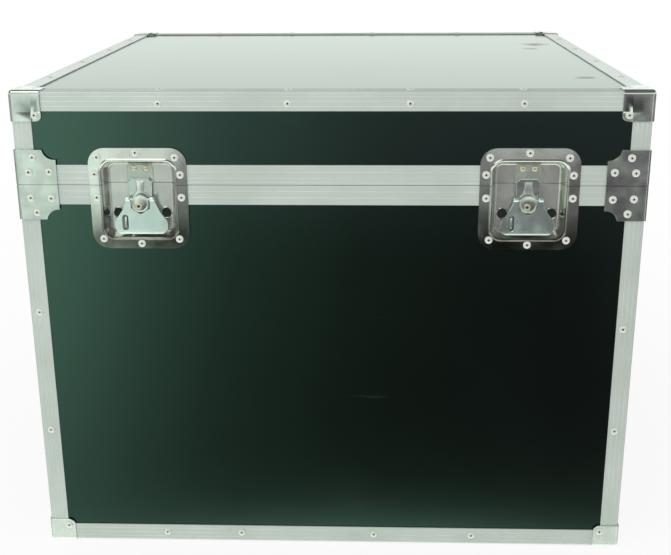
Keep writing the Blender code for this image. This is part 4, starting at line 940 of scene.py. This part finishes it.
# Hubs, turned and plated: a low domed boss with a small eyelet set off its middle, on the shaft
# that turns the cam behind, with a thin pin through it for the handle's ears.
HUB_RADIUS, HUB_DOME = 0.0096, 0.0009
HUB_STEPS = ((0.0002, 0.0004), (0.0005, 0.00025), (0.0010, 0.0), (0.0004, -0.00025), (0.0016, 0.00022),
             (0.0024, 0.0002))
EYE_X, EYE_RISE = -0.0013, -0.0030
EYE_RADIUS, EYE_BORE = 0.0038, 0.0017
EYE_PROUD, EYE_HEIGHT, EYE_SUNK = 0.0007, 0.0012, 0.0002
EYE_STEPS = ((0.0003, 0.0003), (0.0006, 0.0001), (0.0008, -0.0001), (0.0005, -0.0004), (0.0001, -0.0003))
HUB_FRONT, HUB_BACK = 0.0015, 0.0052
SHAFT_RADIUS, SHAFT_BACK = 0.004, 0.0149
FOLD_RISE, FOLD_DEPTH = 0.0046, 0.0030
PIN_RADIUS, PIN_REACH = 0.0009, 0.0150
SHAFT_EDGE, PIN_EDGE = 0.0003, 0.0002

boss = rod((0, HUB_BACK, HUB_Z), (0, HUB_FRONT + HUB_DOME, HUB_Z), HUB_RADIUS, 48)
editing(boss)
pick(boss, "FACE", lambda middle, way: way.y < -FACING)
rings(*HUB_STEPS)
spot = Vector((EYE_X, HUB_FRONT - EYE_PROUD, HUB_Z + EYE_RISE))
eyelet = rod(spot + Vector((0, EYE_HEIGHT, 0)), spot, EYE_RADIUS)
editing(eyelet)
pick(eyelet, "FACE", lambda at, way: way.y < -FACING)
rings(*EYE_STEPS)
coated(shaped(eyelet), brassy, bore_painted_shade)
# The eyelet's bore takes the same painted shade.
for face in eyelet.data.polygons:
    if (face.center - spot).xz.length < EYE_BORE and face.center.y > spot.y + EYE_SUNK and face.normal.y < -FACING:
        face.material_index = 1
shaft = rod((0, HUB_BACK - SHEET, HUB_Z), (0, SHAFT_BACK, HUB_Z), SHAFT_RADIUS, 24)
chamfered(shaft, SHAFT_EDGE, 2)
pin = rod((-PIN_REACH, FOLD_DEPTH, HUB_Z + FOLD_RISE), (PIN_REACH, FOLD_DEPTH, HUB_Z + FOLD_RISE), PIN_RADIUS, 12)
chamfered(pin, PIN_EDGE)
for part in (boss, shaft, pin):
    finished(part, chrome)
hub = joined("hub", [boss, shaft, pin, eyelet])


# Butterfly handles, satin plated: a plate blanked with two wings, ears rolled round the hub's pin,
# a cut-out that clears the hub, and a slot that drops over the padlock lug.
HANDLE_FRONT, HANDLE_SHEET = 0.0032, 0.0018
EAR_HALF, EAR_SPAN = 0.0160, (0.0106, 0.0156)
EAR_RADIUS, EAR_EDGE = 0.0022, 0.0004
HANDLE_FLANK = ((0.0162, -0.0040), (0.0174, -0.0076), (0.0189, -0.0109), (0.0207, -0.0140), (0.0228, -0.0169),
                (0.0249, -0.0196), (0.0267, -0.0222), (0.0280, -0.0248), (0.0287, -0.0274), (0.0289, -0.0300),
                (0.0286, -0.0325), (0.0277, -0.0348), (0.0262, -0.0367), (0.0240, -0.0381), (0.0205, -0.0389))
LIP_START, LIP_RISE = -0.0372, 0.0003
NOTCH_HALF, NOTCH_SHOULDER, NOTCH_POINT, NOTCH_TAPER = 0.0103, -0.0101, -0.0164, 0.12
SLOT_X, SLOT_Z, SLOT_HALF, SLOT_LENGTH, SLOT_ROUND = -0.0172, -0.0261, 0.0032, 0.0172, 0.98
HANDLE_EDGE, BURR, FLAT_ANGLE = 0.0006, 0.00002, 2
BLADE_FRONT, BLADE_BACK = HANDLE_FRONT - SHEET, HANDLE_FRONT + 4 * SHEET

fold = Vector((0, FOLD_DEPTH, HUB_Z + FOLD_RISE))
handle = blanked([(EAR_HALF, fold.z)] + [(wide, fold.z + up) for wide, up in HANDLE_FLANK], HANDLE_FRONT)
pick(handle, "VERT", lambda at, way: at.z < fold.z + LIP_START - 2 * HAIR)
bpy.ops.transform.translate(value=(0, -LIP_RISE, 0))
walled(handle, HANDLE_SHEET)
notch = block((-NOTCH_HALF, BLADE_FRONT, fold.z + NOTCH_SHOULDER), (NOTCH_HALF, BLADE_BACK, fold.z + SHEET))
editing(notch)
pick(notch, "FACE", lambda middle, way: way.z < -FACING)
drawn(0, 0, NOTCH_POINT - NOTCH_SHOULDER)
bpy.ops.transform.resize(value=(NOTCH_TAPER, 1, 1), center_override=(0, HANDLE_FRONT, fold.z + NOTCH_POINT))
slot = block((SLOT_X - SLOT_HALF, BLADE_FRONT, fold.z + SLOT_Z - SLOT_LENGTH / 2),
             (SLOT_X + SLOT_HALF, BLADE_BACK, fold.z + SLOT_Z + SLOT_LENGTH / 2))
editing(slot)
pick(slot, "EDGE", lambda at, way: abs(way.y) > FACING)
eased(SLOT_HALF * SLOT_ROUND, 6)
carved(handle, [notch, slot])
editing(handle)
everything()
bpy.ops.mesh.remove_doubles(threshold=BURR)
bpy.ops.mesh.dissolve_limited(angle_limit=math.radians(FLAT_ANGLE))
chamfered(handle, HANDLE_EDGE, angle=60)
plate_satin = plated_steel("satin_plate", (0.74, 0.85, 0.80, 1), (0.66, 0.76, 0.71, 1), 0.16, 0.90)
ears = []
for side in (-1, 1):
    start, stop = ((side * x, fold.y, fold.z) for x in EAR_SPAN)
    ears.append(chamfered(rod(start, stop, EAR_RADIUS, 24), EAR_EDGE, 2))
for part in (handle, *ears):
    finished(part, plate_satin)
handle = joined("handle", [handle, *ears])

for side, x in zip(("left", "right"), LATCH_X):
    place = Matrix.Translation((x, FRONT, SEAM))
    for piece, body, slot_name, node in (
            (lower_dish, "base", "chromed_dish", "lower_dish"), (upper_dish, "lid", "chromed_dish", "upper_dish"),
            (keeper, "lid", "keeper_plate", "keeper"), (hook, side + "_hook", "chromed_works", "hook_plate"),
            (hub, side + "_hub", "chromed_works", "hub"), (handle, side + "_handle", "latch_handle", "handle")):
        copy = moved(copied(piece, f"{side}_{piece.name}_piece"), place)
        fitted(copy, body, slot_name, f"{side}_latch_{node}")
for piece in (lower_dish, upper_dish, keeper, hook, hub, handle):
    bpy.data.objects.remove(piece)


# Rear strap hinges of zinc-plated steel: two leaves laid over the closure profiles, with rolled
# knuckles round a pressed-in pin, held by three rivets each.
HINGE_X = 0.200
HINGE_BACK = REAR + 0.0008
WELD_REACH = 0.00001
HINGE_RIVETS = ((-0.020, 0.026), (0.020, 0.026), (0.0, 0.014))

for side, across in (("left", -1), ("right", 1)):
    for body, up in (("base", -1), ("lid", 1)):
        leaf = coated(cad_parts[f"{side}_hinge_{body}_leaf"], steel)
        leaf.modifiers.new("merged", "WELD").merge_threshold = WELD_REACH
        places = [((across * HINGE_X + x, HINGE_BACK, SEAM + up * z), (0, 1, 0)) for x, z in HINGE_RIVETS]
        fitted(set_rivets(f"{side}_{body}_hinge_rivets", places), body, "zinc_plated_steel")


# Recessed side handles: a pressed dish like the latch's, with a bent steel bail in two ears and a
# ribbed rubber grip slid over its straight run.
GRIP_Z = 0.260
SIDE_FACE = 0.0015
SIDE_FLANGE = (0.083, 0.053)
SIDE_OPENING = (0.070, 0.040)
SIDE_STEPS = ((0.0007, 0.00045), (0.0009, 0.00025), (0.0009, 0.0001), (0.0008, -0.0004), (0.0005, -0.0009),
              (0.0004, -0.0020), (0.0005, -0.0150), (0.0006, -0.0017), (0.0013, -0.0008), (0.0006, 0.0))
SIDE_FLANGE_RADIUS, SIDE_OPENING_RADIUS = 0.014, 0.010
SIDE_RIVETS = [(x, up * z) for up in (-1, 1) for x, z in ((-0.0745, 0.0445), (0.0, 0.0470), (0.0745, 0.0445))]
BAIL_RADIUS = 0.0039
BAIL_ARM, BAIL_BEND, BAIL_END = 0.055, 0.007, 0.0673
PIVOT_DEPTH, PIVOT_RISE, GRIP_DROP = 0.010, 0.026, 0.046
BAIL_ROOM, BAIL_STEPS = 0.0003, 8
EAR_SIZE, EAR_BACK, EAR_CHAMFER = (0.008, 0.012), 0.0205, 0.0012
GRIP_RIDGE, GRIP_WAIST, GRIP_EDGE = 0.0089, 0.0080, 0.0003
GRIP_HALF, GRIP_END, GRIP_GROOVES = 0.046, 0.003, 18

side_dish = pressed_dish((-SIDE_FLANGE[0], -SIDE_FLANGE[1]), SIDE_FLANGE, SIDE_FLANGE_RADIUS,
                         (-SIDE_OPENING[0], -SIDE_OPENING[1]), SIDE_OPENING, SIDE_OPENING_RADIUS, SIDE_STEPS)
finished(side_dish, steel)
ears = []
for end in (-1, 1):
    start, stop = sorted((end * (SIDE_OPENING[0] - EAR_SIZE[0]), end * (SIDE_OPENING[0] + SHEET / 4)))
    ear = block((start, PIVOT_DEPTH - EAR_SIZE[1] / 2, PIVOT_RISE - EAR_SIZE[1] / 2),
                (stop, EAR_BACK, PIVOT_RISE + EAR_SIZE[1] / 2))
    chamfered(ear, EAR_CHAMFER, 3)
    carved(ear, [rod((start - SHEET, PIVOT_DEPTH, PIVOT_RISE), (stop + SHEET, PIVOT_DEPTH, PIVOT_RISE),
                     BAIL_RADIUS + BAIL_ROOM, 24)])
    ears.append(finished(ear, steel))
side_dish = joined("side_dish", [side_dish, *ears, front_rivets(SIDE_RIVETS)])

bend = bpy.data.curves.new("bail_line", "CURVE")
bend.dimensions = "3D"
bend.bevel_depth = BAIL_RADIUS
bend.bevel_resolution = 5
bend.use_fill_caps = True
line = bend.splines.new("POLY")
arc = [math.pi / 2 * step / BAIL_STEPS for step in range(BAIL_STEPS + 1)]
upper_bend = [(BAIL_ARM + BAIL_BEND * (1 - math.sin(turn)), BAIL_BEND * (math.cos(turn) - 1)) for turn in arc]
lower_bend = [(BAIL_ARM - BAIL_BEND * (1 - math.cos(turn)), -GRIP_DROP + BAIL_BEND * (1 - math.sin(turn)))
              for turn in arc]
half_line = [(BAIL_END, 0.0), *upper_bend, *lower_bend]
whole_line = [(-x, z) for x, z in half_line] + half_line[::-1]
line.points.add(len(whole_line) - 1)
for point, (x, z) in zip(line.points, whole_line):
    point.co = (x, PIVOT_DEPTH, PIVOT_RISE + z, 1)
bail = bpy.data.objects.new("bail", bend)
bpy.context.scene.collection.objects.link(bail)
take(bail)
bpy.ops.object.convert(target="MESH")
bail = finished(bpy.context.object, steel)

rubber, tree, shader, where = surface("black_rubber", (0.012, 0.012, 0.012, 1), 0.55, 0.0)
worn = mixed(tree, noise(tree, where, 60.0, 4.0), (0.008, 0.008, 0.008, 1), (0.022, 0.022, 0.021, 1))
feed(shader, "Base Color", worn)
raised(tree, shader, noise(tree, where, 900.0), 0.00008)
grip_line = (0, PIVOT_DEPTH, PIVOT_RISE - GRIP_DROP)
grip = rod((-GRIP_HALF, *grip_line[1:]), (GRIP_END - GRIP_HALF, *grip_line[1:]), GRIP_WAIST, 28)
grip.name = "grip"
editing(grip)
pitch = 2 * (GRIP_HALF - GRIP_END) / GRIP_GROOVES
swell = GRIP_RIDGE / GRIP_WAIST
pick(grip, "FACE", lambda at, way: way.x > FACING)
for _ in range(GRIP_GROOVES):
    for growth, run in ((swell, 0.2), (1, 0.35), (1 / swell, 0.2), (1, 0.25)):
        drawn(pitch * run, 0, 0)
        if growth != 1:
            bpy.ops.transform.resize(value=(1, growth, growth), center_override=grip_line)
drawn(GRIP_END, 0, 0)
finished(chamfered(grip, GRIP_EDGE), rubber, 50)

for side, turn in (("left", -1), ("right", 1)):
    place = Matrix.Translation((turn * (SIDE - SIDE_FACE), MIDDLE, GRIP_Z))
    place = place @ Matrix.Rotation(turn * math.pi / 2, 4, "Z")
    for piece, body, slot_name, node in ((side_dish, "base", "zinc_plated_steel", "dish"),
                                         (bail, side + "_bail", "zinc_plated_steel", "bail"),
                                         (grip, side + "_bail", "black_rubber", "grip")):
        copy = moved(copied(piece, f"{side}_{piece.name}_piece"), place)
        fitted(copy, body, slot_name, f"{side}_side_handle_{node}")
for piece in (side_dish, bail, grip, rivet_head):
    bpy.data.objects.remove(piece)


# Foam linings, cut from dark open-cell sheet and glued in: a floor, four walls and a block for the
# lid. Their edges are soft, and the sides are relieved for the handle dishes.
FOAM_EDGE = 0.004
FOAM_SHRINK = 0.0004

foam, tree, shader, where = surface("grey_foam", (0.030, 0.032, 0.034, 1), 0.95, 0.0)
cells = noise(tree, where, 700.0, 3.0, 0.6)
feed(shader, "Base Color", mixed(tree, cells, (0.014, 0.015, 0.016, 1), (0.050, 0.052, 0.055, 1)))
shader.inputs["Sheen Weight"].default_value = 0.25
raised(tree, shader, cells, 0.0005)


def foam_slab(node, body, hollows=()):
    """A slab a hair smaller than the solid it replaces, with soft edges."""
    low, high = (Vector(end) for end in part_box(node))
    shrink = Vector((FOAM_SHRINK,) * 3)
    slab = block(low + shrink, high - shrink)
    carved(slab, [block(*hollow) for hollow in hollows])
    finished(chamfered(slab, FOAM_EDGE, 3), foam, 60)
    slab.name = node.replace("foam", "lining")
    fitted(slab, body, "grey_foam", node)


DISH_ROOM, DISH_DEPTH, DISH_RISE = 0.0405, 0.0158, 0.0282
WINDOW_LENGTH, WINDOW_HEIGHT, WINDOW_DEPTH = 0.0717, 0.0417, 0.040
LID_LINING, LID_FLOOR, PAST = Vector((0.025, 0.025, 0)), Vector((0, 0, 0.030)), 0.01
for wall in ("floor", "front", "rear"):
    foam_slab("base_foam_" + wall, "base")
for side, way in (("left", -1), ("right", 1)):
    foam_slab("base_foam_" + side, "base",
              [((way * (SIDE - WINDOW_DEPTH), MIDDLE - WINDOW_LENGTH, GRIP_Z - WINDOW_HEIGHT),
                (way * SIDE, MIDDLE + WINDOW_LENGTH, GRIP_Z + WINDOW_HEIGHT))])
lid_low, lid_high = (Vector(end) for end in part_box("lid_foam"))
hollows = [(lid_low + LID_LINING - Vector((0, 0, 2 * PAST)), lid_high - LID_LINING - LID_FLOOR)]
hollows += [((x - DISH_ROOM, FRONT - PAST, SEAM), (x + DISH_ROOM, FRONT + DISH_DEPTH, SEAM + DISH_RISE))
            for x in LATCH_X]
foam_slab("lid_foam", "lid", hollows)
